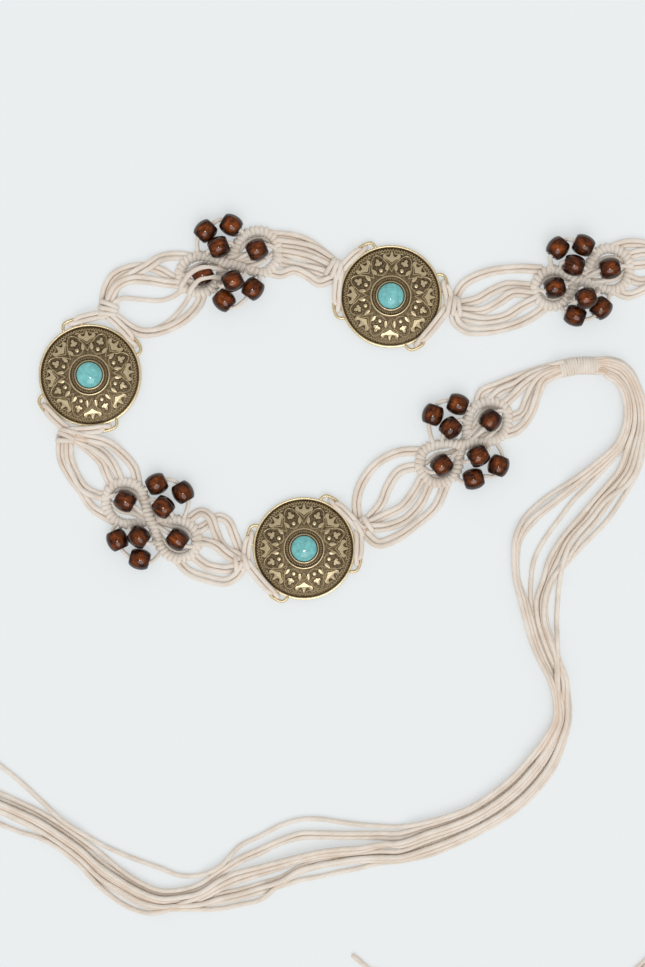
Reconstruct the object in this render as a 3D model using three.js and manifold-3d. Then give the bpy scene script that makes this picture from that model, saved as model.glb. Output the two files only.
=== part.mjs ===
// Western belt of knotted cotton cord with three cast conchos, turquoise cabochons and wooden beads.
// It lies flat in a loose Z. Units are millimetres and +Z is up.
// The origin is the middle of the back of the middle concho, which lies on the surface.
import * as THREE from 'three';
import { mergeVertices } from 'three/addons/utils/BufferGeometryUtils.js';
import Module from 'manifold-3d';

const wasm = await Module();
wasm.setup();

// Driving dimensions
const CORD = 2.2; // diameter of the cotton cord
const GAP = 0.3; // clearance that pieces lying on each other keep
const LAY = 1.4; // height of the middle of a cord that lies flat
const ROW = { width: 4.4, height: 3.2, z: 2, steps: 11, sides: 4 }; // a row of hitches
const BEAD = { radius: 4.7, length: 8.8, endRadius: 3.6, hole: 1.6, sides: 10 };
// A cord that carries beads, drawn tight: half its thickness, how far it runs straight beyond a bead's mouth,
// how far from the crossing it starts, and how high above the middle of the rows
const STRING = { radius: 0.8, mouth: 1.4, start: 1.5, lift: 0.4 };
const CONCHO = {
  radius: 22.5, rim: 20.6, rimTop: 2.8, bevel: 0.4, ring: 9.2,
  bezel: 6.4, bezelTop: 5.9, bezelWall: 0.5, seat: 4.7, sides: 24,
};
const STONE = { radius: 5.6, height: 2.8, sides: 12 };
const RELIEF = { up: 0.45, down: 0.9 }; // how far the ornament stands up from the dome and reaches into it
// A soldered loop of wire: half its width, how far out it reaches, and where its shoulders and its roots are
const WIRE = {
  radius: 0.65, z: 2.4, half: 4.3, reach: 25.3, shoulder: 1.6, taper: 0.4, root: 1, turn: 38, sides: 5,
};
// A band through a wire loop: where it leaves the loop, its widths, and its heights at the knot
const BAND = {
  thick: 1.3, inside: 1.1, reach: 25.6, wide: 4.4, middle: 3.2, narrow: 1.3, top: 3.3, bottom: 1.6,
};
const KNOT = { length: 11, depth: 6.4, height: 4.6, z: 2.6 }; // the square knot beside a concho
const WRAP = { width: 8.4, height: 6.4, sides: 10 }; // the cord wound round the bundle
const GROUP = { flat: 0.95, steps: 5 }; // bare cords side by side: height in cords, and sections
const TAIL = { height: 3, neck: 5.4, settle: 5, sides: 4 }; // a bundle of bare cords, low after some stations
const SAME = 1e-4; // corners closer than this are one corner
const FLAT = 0.12; // corners that stand out less than this are left out

// The conchos: place and the direction in which the belt passes, degrees from +X
const CONCHOS = {
  middle: { x: 0, y: 0, turn: 72 },
  upper: { x: 131.6, y: 34.5, turn: -24 },
  lower: { x: 93.7, y: -75.8, turn: 22.5 },
};

// The dome of a concho, radius and height, from the raised ring out to the foot of the rim
const DOME = [[CONCHO.ring, 4.9], [CONCHO.rim, 2.3]];

// Ornament outlines, [radius, sideways], before they are repeated round the dome
const PALMETTE = [[14.2, 0], [17.3, 4.1], [17.1, 1.4], [19.4, 0], [17.1, -1.4], [17.3, -4.1]];
const MOTIFS = 8;

// Profile of a stone, in shares of its radius and height
const CABOCHON = [[0, 0], [1, 0], [0.96, 0.45], [0.62, 0.85], [0, 1]];

// Sections along a square knot and along a wrapped knot: share of the length, share of the full size
const KNOT_ROWS = [[-0.5, 0.6], [-0.25, 1], [0.25, 1], [0.5, 0.6]];
const WRAP_ROWS = [[0, 0.92], [0.5, 1], [1, 0.92]];

// The four knotted stretches.
// cross and turn: where the two leaf-shaped loops meet, and the direction of the belt there.
// loops: how far the row of each loop reaches above and below the belt's line, and how far along its tip is.
// knots: the square knot at each end that is tied to a concho, with the side of the concho it is on.
// cords: groups of bare cords, how many lie side by side, and the route of their middle, [x, y] or [x, y, z].
// beads: place, height and the direction of the hole, degrees from +X.
const STRETCHES = {
  upper_left: {
    cross: [60.1, 48.3], turn: 26.9, loops: { left: [9.8, 6.2, 21.5], right: [8.3, 10.1, 23.5] },
    knots: [
      { concho: 'middle', side: 1, at: [7.9, 28.4] }, { concho: 'upper', side: -1, at: [107.6, 46.4] },
    ],
    cords: [
      {
        count: 2,
        route: [[3.1, 29.5], [6.1, 37.2], [10.1, 42.9], [16.2, 46.4], [24.1, 47.7], [30.6, 45.9], [36.8, 42]],
      },
      {
        count: 2,
        route: [[8.8, 31], [11.8, 39.4], [18.4, 43.8], [25.4, 47.7], [31.5, 51.6], [38.5, 52.5], [45, 51.6]],
      },
      {
        count: 2,
        route: [[7.9, 30.5], [11.8, 38.5], [17.5, 41.6], [25.4, 41.6], [33.3, 40.3], [39.5, 39.8]],
      },
      {
        count: 1,
        route: [[8.8, 30.2], [14, 33.7], [21.9, 33.3], [30.6, 32.8], [36.8, 34.6], [41.3, 38.2]],
      },
      {
        count: 1,
        route: [[9.4, 27.5], [15.8, 21], [24.1, 19.3], [33.3, 22.8], [40.3, 29.8], [44.5, 36.4]],
      },
      {
        count: 2,
        route: [[11, 25.5], [21.9, 18.8], [31.5, 19.7], [41.1, 24.5], [47.7, 31.5], [49.7, 37.3]],
      },
      {
        count: 3,
        route: [[79.5, 60], [89.7, 58.9], [96.9, 56.5], [106, 50.4]],
      },
      {
        count: 4,
        route: [[82.1, 52.1], [90.6, 50.3], [97.4, 48.4], [106.4, 45]],
      },
      {
        count: 2,
        route: [[76.9, 46.1], [83.1, 44.2], [89.3, 45.9], [95.4, 43.3], [100.2, 40.3], [106, 42]],
      },
    ],
    beads: {
      loop_left: [49.6, 43.6, 6.7, 33], loop_right: [73.1, 54.7, 5.2, 25],
      above_inner: [56.6, 55.6, 7.3, 22],
      above_left: [50.7, 62.8, 5, 45], above_right: [61.9, 65.4, 5, -31],
      below_inner: [62.8, 40.6, 10.2, 27],
      below_left: [58.8, 32.6, 4.7, -45], below_right: [71.4, 37.6, 5, 55],
    },
  },
  upper_right: {
    cross: [213.9, 41.5], turn: 18.8, loops: { left: [8.3, 7.5, 19.8], right: [9.3, 8.8, 23.1] },
    knots: [{ concho: 'upper', side: 1, at: [158.8, 30.2] }],
    cords: [
      {
        count: 2,
        route: [[159.1, 33], [163.6, 39.8], [169.8, 43.3], [178.1, 45.9], [187.3, 46.8], [197.6, 46.4]],
      },
      {
        count: 2,
        route: [[161.2, 31.1], [169.8, 33.3], [175.9, 36.8], [182.4, 39.4], [193.3, 38.9]],
      },
      {
        count: 2,
        route: [[161.1, 28.5], [171.5, 28.4], [178.9, 31.9], [185.5, 35.9], [193.8, 35.3]],
      },
      {
        count: 2,
        route: [[160.1, 26.4], [172.8, 24.1], [182, 25.8], [189, 30.2], [195.3, 33.3]],
      },
      {
        count: 2,
        route: [[158.4, 24.2], [164.5, 19.7], [175, 19.7], [185.9, 22.3], [195.1, 26.7], [200.4, 30.9]],
      },
      {
        count: 2, wrap: 'upper',
        route: [[227, 55.4], [234.9, 57.8], [242.8, 57.3], [251.1, 54.7], [260, 50.7, 4.4]],
      },
      {
        count: 2, wrap: 'upper',
        route: [[233.5, 51.6], [240.6, 53.8], [247.6, 53.4], [260.3, 50, 3.2]],
      },
      {
        count: 2, wrap: 'upper',
        route: [[235.2, 47.7], [242.8, 48.6], [250.3, 49.4], [260.6, 49.2, 2]],
      },
      {
        count: 2, wrap: 'upper',
        route: [[234.4, 43.3], [241.5, 41.1], [249.4, 43.8], [260.9, 48.5, 3.4]],
      },
      {
        count: 2, wrap: 'upper',
        route: [[229.4, 37.6], [235.4, 35], [242.8, 37.6], [251.1, 42.4], [261.2, 47.8, 2.4]],
      },
    ],
    beads: {
      loop_left: [203.1, 38, 6.2, 18], loop_right: [227.1, 46.4, 5.3, 12],
      above_inner: [211.2, 47.6, 8, -15],
      above_left: [204.4, 55.3, 5.7, 50], above_right: [215.5, 56.4, 7, -25],
      below_inner: [216.2, 33, 10.8, 19],
      below_left: [212, 25.9, 4.7, -20], below_right: [223.3, 29.2, 5, 50],
    },
  },
  lower_left: {
    cross: [26.4, -63.5], turn: -36.3, loops: { left: [8.8, 8.8, 22.5], right: [8.8, 7.5, 23.4] },
    knots: [
      { concho: 'middle', side: -1, at: [-9.6, -26.2] }, { concho: 'lower', side: -1, at: [66.5, -81.9] },
    ],
    cords: [
      {
        count: 2,
        route: [[-12.7, -26.3], [-12.7, -36.3], [-9.2, -43.8], [-3.9, -50.8], [1.3, -58.2], [10.3, -63.7]],
      },
      {
        count: 2,
        route: [[-9.2, -27.5], [-8.8, -36.3], [-6.1, -43.8], [-1.8, -49.9], [8.1, -54]],
      },
      {
        count: 2,
        route: [[-7.1, -27.4], [0, -33.3], [4.8, -38.1], [7, -43.3], [9.6, -48.6]],
      },
      {
        count: 2,
        route: [[-6, -27.4], [3.5, -32.4], [8.8, -37.2], [11.8, -42.4], [13.8, -47.6]],
      },
      {
        count: 2,
        route: [[-5.8, -26.6], [0.8, -27.6], [8.2, -29.6], [14.4, -35], [19.3, -41.1], [21, -48.3]],
      },
      {
        count: 2,
        route: [[66.1, -78.1], [63.4, -70.4], [60.4, -63.9], [56, -62.1], [51.6, -65.2], [45.8, -68.6]],
      },
      {
        count: 2,
        route: [[65.6, -79.4], [58.6, -75.3], [55.1, -68.7], [52.5, -62.1], [48.6, -59.9], [42.9, -63.4]],
      },
      {
        count: 2,
        route: [[64.8, -81.4], [59.5, -77.9], [54.7, -73.9], [49.9, -72.6], [45, -72.6]],
      },
      {
        count: 2,
        route: [[65.6, -83.6], [58.6, -84.9], [51.6, -83.6], [46.4, -80.1], [42.3, -76.6]],
      },
      {
        count: 2,
        route: [[66, -85.6], [59.5, -90.1], [50.8, -88.8], [42.9, -85.8], [37.2, -79.6]],
      },
    ],
    beads: {
      loop_left: [15.7, -55, 5.5, -30], loop_right: [38.5, -71.8, 6, -36],
      above_inner: [32.4, -57.6, 7.8, -40],
      above_left: [29.4, -47.6, 4.7, 25], above_right: [40.8, -51.2, 4.7, -60],
      below_inner: [21.9, -70.6, 8.4, -36],
      below_left: [12.2, -72, 4.7, -65], below_right: [22, -80.4, 4.7, -15],
    },
  },
  lower_right: {
    cross: [163.5, -31.4], turn: 44.8, loops: { left: [11, 6.2, 21], right: [8.9, 7.9, 25.1] },
    knots: [{ concho: 'lower', side: 1, at: [119.2, -66] }],
    cords: [
      {
        count: 2,
        route: [[117.1, -63], [116.8, -54.7], [119.9, -45.9], [126.9, -37.6], [135.6, -33.7], [145, -33.2]],
      },
      {
        count: 2,
        route: [[120.6, -64.1], [127.3, -56.4], [130.4, -49], [134.8, -42.4], [140, -40.3], [145.9, -40.3]],
      },
      {
        count: 2,
        route: [[121.1, -65.4], [129.1, -61.3], [136.9, -57.3], [141.8, -51.2], [145.2, -45]],
      },
      {
        count: 2,
        route: [[121.1, -66.8], [130.4, -66.1], [138.3, -63], [144.8, -56], [149, -46.9]],
      },
      {
        count: 2,
        route: [[120.6, -69.3], [126, -73.5], [133.9, -71.3], [142.6, -65.2], [151.4, -57.3], [156.2, -46.6]],
      },
      {
        count: 2, wrap: 'lower',
        route: [[169.4, -13.1], [171.5, -7.4], [178.5, -4.4], [186.4, -1.3], [195.6, 1.8], [204.7, 4.1, 4.4]],
      },
      {
        count: 2, wrap: 'lower',
        route: [[174.6, -11.6], [179.4, -7], [185.5, -4.4], [192.5, -0.4], [204.8, 3.3, 3.2]],
      },
      {
        count: 2, wrap: 'lower',
        route: [[180.9, -13.2], [185.1, -9.2], [189.4, -4.8], [195.1, -0.9], [205, 2.5, 2]],
      },
      {
        count: 2, wrap: 'lower',
        route: [[183.2, -19], [189, -16.2], [191.6, -10.1], [194.3, -4.8], [198.2, -0.9], [205.1, 1.7, 3.4]],
      },
      {
        count: 2, wrap: 'lower',
        route: [[179.3, -26.2], [186.8, -24.1], [192.9, -17], [195.6, -9.6], [198.2, -3], [205.2, 1, 2.4]],
      },
    ],
    beads: {
      loop_left: [153.8, -39.4, 6.2, 40], loop_right: [175, -19.8, 5.7, 52],
      above_inner: [157.6, -23.2, 6.4, 45],
      above_left: [149.9, -17.4, 4.9, 70], above_right: [160.8, -12.8, 4.9, -20],
      below_inner: [169.6, -35.4, 7.6, 30],
      below_left: [167.7, -45.4, 4.7, 15], below_right: [178.6, -39.6, 4.8, 70],
    },
  },
};

// The wrapped knots: start and end of each, where the tail begins
const WRAPS = {
  upper: [[261, 49.4, 3.4], [268.5, 52.7, 3.4], [276.2, 55.2, 3.4]],
  lower: [[205.4, 2.6, 3.4], [213.5, 4.1, 3.4], [222.3, 4, 3.4]],
};

// The tails: middle of the bundle and the width that its ten cords spread over, [x, y, width]
const TAILS = {
  upper: [
    [276.6, 55.3, 7.6], [284.4, 54.3, 9], [290.9, 49.4, 10], [294.4, 40.7, 11], [295.8, 28.4, 12],
    [296.6, 10.9, 14], [297.1, -10.9, 16], [296.6, -32.8, 18], [294.9, -54.7, 18], [292.3, -80.9, 16],
    [289.6, -107.2, 13], [287.9, -133.4, 10], [287, -155.3, 9], [285.3, -177.2, 9], [281.3, -199.1, 11],
    [274.8, -220, 14], [264.7, -240, 16], [252, -257.5, 16], [236, -269.5, 14], [214, -275.5, 15],
    [188, -277.5, 18], [162, -276.5, 18], [142, -271.5, 15], [128, -265, 9], [117, -257, 3],
  ],
  lower: [
    [222.7, 4, 7.6], [228.4, 2.6, 9.5], [234.1, -0.9, 10.5], [238, -6.6, 11], [239.3, -13.1, 12],
    [238, -21.9, 13.5], [233.6, -31.5, 18], [227.9, -40.7, 23], [219.6, -50.3, 29], [210, -59.1, 33],
    [203.4, -67.8, 34], [199.1, -78.8, 29], [196, -89.7, 22], [196.4, -100.6, 18], [198.2, -113.8, 14],
    [202.1, -128.2, 9.5], [205.6, -140, 8.5], [206.5, -148.8, 8.5], [203.9, -159.7, 10.5],
    [197.3, -170.2, 13], [187.3, -181.6, 14.5], [175, -190.8, 15], [159.7, -198.2, 16],
    [144.4, -203.4, 16.5], [126.9, -205.6, 18], [109.4, -206.5, 22], [91.9, -208.3, 27.5],
    [75.3, -213.9, 25], [60.4, -223.6, 21], [43.8, -226.6, 17.5], [26.3, -224.9, 20], [4.4, -215.3, 17],
    [-13.1, -203, 15], [-30.6, -189.4, 18], [-43.8, -179.4, 17], [-56, -171.1, 12],
  ],
};

// Finishes
const FINISH = {
  cotton: { color: 0xded4c5, roughness: 0.95, metalness: 0 },
  brass: { color: 0x8a7a55, roughness: 0.45, metalness: 1 },
  turquoise: { color: 0x8fc4c2, roughness: 0.3, metalness: 0 },
  wood: { color: 0x4a2a1c, roughness: 0.3, metalness: 0 },
};

const UP = new THREE.Vector3(0, 0, 1);
const radians = THREE.MathUtils.degToRad;

function piece(name, geometry, finish) {
  const mesh = new THREE.Mesh(geometry, new THREE.MeshStandardMaterial(FINISH[finish]));
  mesh.name = name;
  return mesh;
}

// A closed body from a three.js geometry: shared corners merged, and no flat triangle at the axis
function closed(geometry) {
  geometry.deleteAttribute('normal');
  geometry.deleteAttribute('uv');
  const merged = mergeVertices(geometry, SAME);
  const index = [];
  for (let i = 0; i < merged.index.count; i += 3) {
    const [a, b, c] = [0, 1, 2].map((k) => merged.index.getX(i + k));
    if (a !== b && b !== c && c !== a) index.push(a, b, c);
  }
  merged.setIndex(index);
  return merged;
}

function toSolid(geometry) {
  const vertProperties = new Float32Array(geometry.attributes.position.array);
  const triVerts = new Uint32Array(geometry.index.array);
  return new wasm.Manifold(new wasm.Mesh({ numProp: 3, vertProperties, triVerts }));
}

function joined(geometries) {
  let solid = toSolid(geometries[0]);
  for (const geometry of geometries.slice(1)) solid = solid.add(toSolid(geometry));
  const { vertProperties, triVerts } = solid.simplify(FLAT).getMesh();
  const geometry = new THREE.BufferGeometry();
  geometry.setAttribute('position', new THREE.BufferAttribute(vertProperties, 3));
  geometry.setIndex(new THREE.BufferAttribute(triVerts, 1));
  return geometry;
}

// The corners of a section, [across, up] for a half width and half height of 1
function section(sides) {
  if (sides === 4) return [[1, -1], [1, 1], [-1, 1], [-1, -1]];
  return Array.from({ length: sides }, (_, i) => {
    const angle = (2 * Math.PI * i) / sides;
    return [Math.cos(angle), Math.sin(angle)];
  });
}

// Where a tube climbs more steeply than this, its width keeps the direction of the section before
const STEEP = 0.05;

// A closed tube or strap through stations { at, wide, high }, kept level across its width
function sweep(stations, sides) {
  const corners = section(sides);
  const positions = [];
  let across = null;
  stations.forEach(({ at, wide, high, along }, j) => {
    const before = stations[Math.max(j - 1, 0)].at;
    const after = stations[Math.min(j + 1, stations.length - 1)].at;
    const tangent = (along ?? after.clone().sub(before)).clone().normalize();
    const level = tangent.clone().cross(UP);
    if (level.length() < STEEP) level.copy(across);
    level.normalize();
    if (across && level.dot(across) < 0) level.negate();
    across = level;
    const rise = across.clone().cross(tangent);
    for (const [x, y] of corners) {
      const corner = at.clone().addScaledVector(across, (x * wide) / 2).addScaledVector(rise, (y * high) / 2);
      positions.push(corner.x, corner.y, corner.z);
    }
  });
  const index = [];
  const last = (stations.length - 1) * sides;
  for (let i = 1; i < sides - 1; i += 1) {
    index.push(0, i, i + 1);
    index.push(last, last + i + 1, last + i);
  }
  for (let j = 0; j < stations.length - 1; j += 1) {
    for (let i = 0; i < sides; i += 1) {
      const a = j * sides + i;
      const b = j * sides + ((i + 1) % sides);
      index.push(a, a + sides, b, b, a + sides, b + sides);
    }
  }
  const geometry = new THREE.BufferGeometry();
  geometry.setAttribute('position', new THREE.Float32BufferAttribute(positions, 3));
  geometry.setIndex(index);
  return geometry;
}

function onPlan([x, y, z = LAY]) {
  return new THREE.Vector3(x, y, z);
}

function polar(concho, degrees, radius, z) {
  const angle = radians(degrees);
  return new THREE.Vector3(concho.x + radius * Math.cos(angle), concho.y + radius * Math.sin(angle), z);
}

// A bead with its drilled hole, turned so that the hole lies level
function beadGeometry([x, y, z, turn]) {
  const half = BEAD.length / 2;
  const profile = [
    [BEAD.hole, -half], [BEAD.endRadius, -half], [BEAD.radius, 0], [BEAD.endRadius, half], [BEAD.hole, half],
    [BEAD.hole, -half],
  ].map(([r, h]) => new THREE.Vector2(r, h));
  const geometry = closed(new THREE.LatheGeometry(profile, BEAD.sides));
  geometry.rotateZ(-Math.PI / 2);
  geometry.rotateZ(radians(turn));
  geometry.translate(x, y, z);
  return geometry;
}

function domeHeight(radius) {
  const [[r0, z0], [r1, z1]] = DOME;
  return z0 + ((z1 - z0) * (radius - r0)) / (r1 - r0);
}

// One raised motif that follows the dome
function motif(outline, degrees) {
  const shape = new THREE.Shape(outline.map(([r, side]) => new THREE.Vector2(r, side)));
  const geometry = closed(new THREE.ExtrudeGeometry(shape, { depth: 1, bevelEnabled: false }));
  const position = geometry.attributes.position;
  for (let i = 0; i < position.count; i += 1) {
    const radius = Math.hypot(position.getX(i), position.getY(i));
    const lift = position.getZ(i) > 0.5 ? RELIEF.up : -RELIEF.down;
    position.setZ(i, domeHeight(radius) + lift);
  }
  geometry.rotateZ(radians(degrees));
  return geometry;
}

// A soldered half ring of wire on the rim
function wireLoop(degrees) {
  const { half, reach, shoulder, taper, root, z, radius } = WIRE;
  const inner = CONCHO.radius - root;
  const outline = [
    [inner, -half], [reach - shoulder, -half + taper], [reach, -half / 2], [reach, half / 2],
    [reach - shoulder, half - taper], [inner, half],
  ];
  const thick = 2 * radius;
  const stations = outline.map(([x, y]) => ({ at: new THREE.Vector3(x, y, z), wide: thick, high: thick }));
  const geometry = sweep(stations, WIRE.sides);
  geometry.rotateZ(radians(degrees));
  return geometry;
}

function conchoGeometry({ x, y, turn }) {
  const { radius, rim, rimTop, bevel, bezel, bezelTop, bezelWall, seat, sides } = CONCHO;
  const profile = [
    [0, 0], [radius, 0], [radius - bevel, rimTop], [rim + bevel, rimTop],
    ...DOME.slice().reverse(),
    [bezel, bezelTop], [bezel - bezelWall, bezelTop], [bezel - bezelWall, seat], [0, seat],
  ].map(([r, h]) => new THREE.Vector2(r, h));
  const disc = closed(new THREE.LatheGeometry(profile, sides));
  disc.rotateX(Math.PI / 2);
  disc.rotateZ(Math.PI / sides);
  const parts = [disc];
  for (let i = 0; i < MOTIFS; i += 1) {
    parts.push(motif(PALMETTE, ((i + 0.5) * 360) / MOTIFS));
  }
  for (const middle of [0, 180]) {
    parts.push(wireLoop(middle - WIRE.turn), wireLoop(middle + WIRE.turn));
  }
  const geometry = joined(parts);
  geometry.rotateZ(radians(turn));
  geometry.translate(x, y, 0);
  return geometry;
}

function stoneGeometry({ x, y }) {
  const { radius, height, sides } = STONE;
  const base = CONCHO.seat + GAP;
  const profile = CABOCHON.map(([r, h]) => new THREE.Vector2(r * radius, base + h * height));
  const geometry = closed(new THREE.LatheGeometry(profile, sides));
  geometry.rotateX(Math.PI / 2);
  geometry.translate(x, y, 0);
  return geometry;
}

// A place in a stretch from its distance along and across the belt
function placer({ cross, turn }) {
  const angle = radians(turn);
  return (along, across, z) => new THREE.Vector3(
    cross[0] + along * Math.cos(angle) - across * Math.sin(angle),
    cross[1] + along * Math.sin(angle) + across * Math.cos(angle),
    z,
  );
}

// Half of a leaf-shaped loop from the crossing to its tip, in shares of its length and its half width
const LEAF_SIDE = [[0.2, 0.42], [0.38, 0.77], [0.6, 1], [0.8, 0.82], [0.94, 0.4]];

function leafSide(side, tip, half) {
  return LEAF_SIDE.map(([u, v]) => [side * u * tip, v * half]);
}

// The rows of hitches: a figure eight through the crossing, as two halves that share their end sections
function hitchRows(stretch) {
  const place = placer(stretch);
  const [leftAbove, leftBelow, leftTip] = stretch.loops.left;
  const [rightAbove, rightBelow, rightTip] = stretch.loops.right;
  const onRow = (points) => points.map(([u, v]) => place(u, v, ROW.z));
  const curve = new THREE.CatmullRomCurve3([
    place(-leftTip, 0, ROW.z), ...onRow(leafSide(-1, leftTip, leftAbove)).reverse(), place(0, 0, ROW.z),
    ...onRow(leafSide(1, rightTip, -rightBelow)), place(rightTip, 0, ROW.z),
    ...onRow(leafSide(1, rightTip, rightAbove)).reverse(), place(0, 0, ROW.z),
    ...onRow(leafSide(-1, leftTip, -leftBelow)),
  ], true, 'centripetal');
  const count = 2 * ROW.steps;
  const stations = Array.from({ length: count + 1 }, (_, i) => {
    const t = (i % count) / count;
    return { at: curve.getPoint(t), along: curve.getTangent(t), wide: ROW.width, high: ROW.height };
  });
  return [sweep(stations.slice(0, ROW.steps + 1), ROW.sides), sweep(stations.slice(ROW.steps), ROW.sides)];
}

// The direction of a wrapped knot between two of its three stations
function wrapDirection(name, from, to) {
  return onPlan(WRAPS[name][to]).sub(onPlan(WRAPS[name][from])).normalize();
}

// Cords side by side along a route. Where they enter a wrapped knot they end flat against it
function cordGroup({ count, route, wrap }) {
  const curve = new THREE.CatmullRomCurve3(route.map(onPlan), false, 'centripetal');
  const steps = Math.min(route.length - 1, GROUP.steps);
  const stations = Array.from({ length: steps + 1 }, (_, i) => (
    { at: curve.getPoint(i / steps), wide: count * CORD, high: GROUP.flat * CORD }
  ));
  if (wrap) stations[steps].along = wrapDirection(wrap, 0, 1);
  return sweep(stations, 4);
}

// The square knot beside a concho: a short thick bar along the rim
function squareKnot({ concho, at }) {
  const { x, y } = CONCHOS[concho];
  const angle = Math.atan2(at[1] - y, at[0] - x);
  const along = new THREE.Vector3(-Math.sin(angle), Math.cos(angle), 0);
  const middle = new THREE.Vector3(at[0], at[1], KNOT.z);
  const stations = KNOT_ROWS.map(([t, size]) => ({
    at: middle.clone().addScaledVector(along, t * KNOT.length),
    wide: size * KNOT.depth,
    high: size * KNOT.height,
  }));
  return sweep(stations, 4);
}

// The two bands at a knot: over a wire, down inside its loop, and back under the wire
function bands({ concho, side, at }) {
  const centre = CONCHOS[concho];
  const knotAngle = THREE.MathUtils.radToDeg(Math.atan2(at[1] - centre.y, at[0] - centre.x));
  const knotRadius = Math.hypot(at[0] - centre.x, at[1] - centre.y);
  const { thick, reach, wide: full, middle, narrow, top, bottom } = BAND;
  const over = WIRE.z + WIRE.radius + GAP + thick / 2;
  const under = WIRE.z - WIRE.radius - GAP - thick / 2;
  const inside = CONCHO.radius + BAND.inside;
  // share of the way to the knot, radius, height, width
  const rows = [
    [0.85, knotRadius, top, full], [0.33, reach, over, middle], [0.1, inside, over, narrow],
    [0.04, inside, WIRE.z, narrow], [0.1, inside, under, narrow], [0.33, reach, under, middle],
    [0.85, knotRadius, bottom, full],
  ];
  return [-1, 1].map((hand) => {
    const start = centre.turn + (side > 0 ? 0 : 180) + hand * WIRE.turn;
    const sweepAngle = THREE.MathUtils.euclideanModulo(knotAngle - start + 180, 360) - 180;
    return sweep(rows.map(([share, radius, z, wide]) => (
      { at: polar(centre, start + share * sweepAngle, radius, z), wide, high: thick }
    )), 4);
  });
}

// The two mouths of a bead's hole, a little way out, the one nearer to a point first
function mouths([x, y, z, turn], from) {
  const half = BEAD.length / 2 + STRING.mouth;
  const angle = radians(turn);
  const reach = new THREE.Vector3(half * Math.cos(angle), half * Math.sin(angle), 0);
  const middle = new THREE.Vector3(x, y, z);
  const ends = [middle.clone().sub(reach), middle.clone().add(reach)];
  return ends.sort((a, b) => a.distanceTo(from) - b.distanceTo(from));
}

// A tight cord from one point through beads to another
function beadString(start, beads, end) {
  const points = [start];
  for (const bead of beads) points.push(...mouths(bead, points[points.length - 1]));
  points.push(end);
  const thick = 2 * STRING.radius;
  return sweep(points.map((at) => ({ at, wide: thick, high: thick })), 4);
}

function beadStrings(stretch) {
  const place = placer(stretch);
  const { beads, loops } = stretch;
  const leftTip = loops.left[2];
  const rightTip = loops.right[2];
  const z = ROW.z + STRING.lift;
  const strings = [
    beadString(place(-STRING.start, 0, z), [beads.loop_left], place(-leftTip, 0, z)),
    beadString(place(STRING.start, 0, z), [beads.loop_right], place(rightTip, 0, z)),
  ];
  for (const [name, hand, k] of [['above', 1, 0], ['below', -1, 1]]) {
    const [, near, wide] = LEAF_SIDE;
    const ends = ([u, v]) => [
      place(-u * leftTip, hand * v * loops.left[k], z), place(u * rightTip, hand * v * loops.right[k], z),
    ];
    const [innerStart, innerEnd] = ends(near);
    const [outerStart, outerEnd] = ends(wide);
    strings.push(
      beadString(innerStart, [beads[`${name}_inner`]], innerEnd),
      beadString(outerStart, [beads[`${name}_left`], beads[`${name}_right`]], outerEnd),
    );
  }
  return strings;
}

function knotworkGeometry(stretch) {
  return joined([
    ...hitchRows(stretch), ...stretch.cords.map(cordGroup), ...stretch.knots.map(squareKnot),
    ...stretch.knots.flatMap(bands), ...beadStrings(stretch),
  ]);
}

// A wrapped knot round the bundle
function wrapGeometry(route) {
  const curve = new THREE.CatmullRomCurve3(route.map(onPlan));
  return sweep(WRAP_ROWS.map(([t, size]) => (
    { at: curve.getPoint(t), wide: size * WRAP.width, high: size * WRAP.height }
  )), WRAP.sides);
}

// A tail: thick where it leaves the wrapped knot, and one cord deep where it lies spread out
function tailGeometry(name, rows) {
  const stations = rows.map(([x, y, wide], i) => {
    const high = TAIL.height + (TAIL.neck - TAIL.height) * Math.max(0, 1 - i / TAIL.settle);
    return { at: new THREE.Vector3(x, y, high / 2 + GAP), wide, high };
  });
  stations[0].along = wrapDirection(name, 1, 2);
  return sweep(stations, TAIL.sides);
}

const belt = new THREE.Group();
for (const [name, concho] of Object.entries(CONCHOS)) {
  belt.add(piece(`concho_${name}`, conchoGeometry(concho), 'brass'));
  belt.add(piece(`stone_${name}`, stoneGeometry(concho), 'turquoise'));
}
for (const [name, stretch] of Object.entries(STRETCHES)) {
  belt.add(piece(`macrame_${name}`, knotworkGeometry(stretch), 'cotton'));
  for (const [role, bead] of Object.entries(stretch.beads)) {
    belt.add(piece(`bead_${name}_${role}`, beadGeometry(bead), 'wood'));
  }
}
for (const [name, route] of Object.entries(WRAPS)) {
  belt.add(piece(`wrap_${name}`, wrapGeometry(route), 'cotton'));
}
for (const [name, rows] of Object.entries(TAILS)) {
  belt.add(piece(`tail_${name}`, tailGeometry(name, rows), 'cotton'));
}

export default belt;
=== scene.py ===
"""Western belt of knotted cotton cord with cast conchos, turquoise and wooden beads, laid flat.

Tables give places in millimetres in the part's own frame, or in the photograph's pixels where their name
says so. Everything that is made from them is in metres.
"""
import math
import random

import bpy
import numpy as np
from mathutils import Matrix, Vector
from mathutils.kdtree import KDTree


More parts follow.
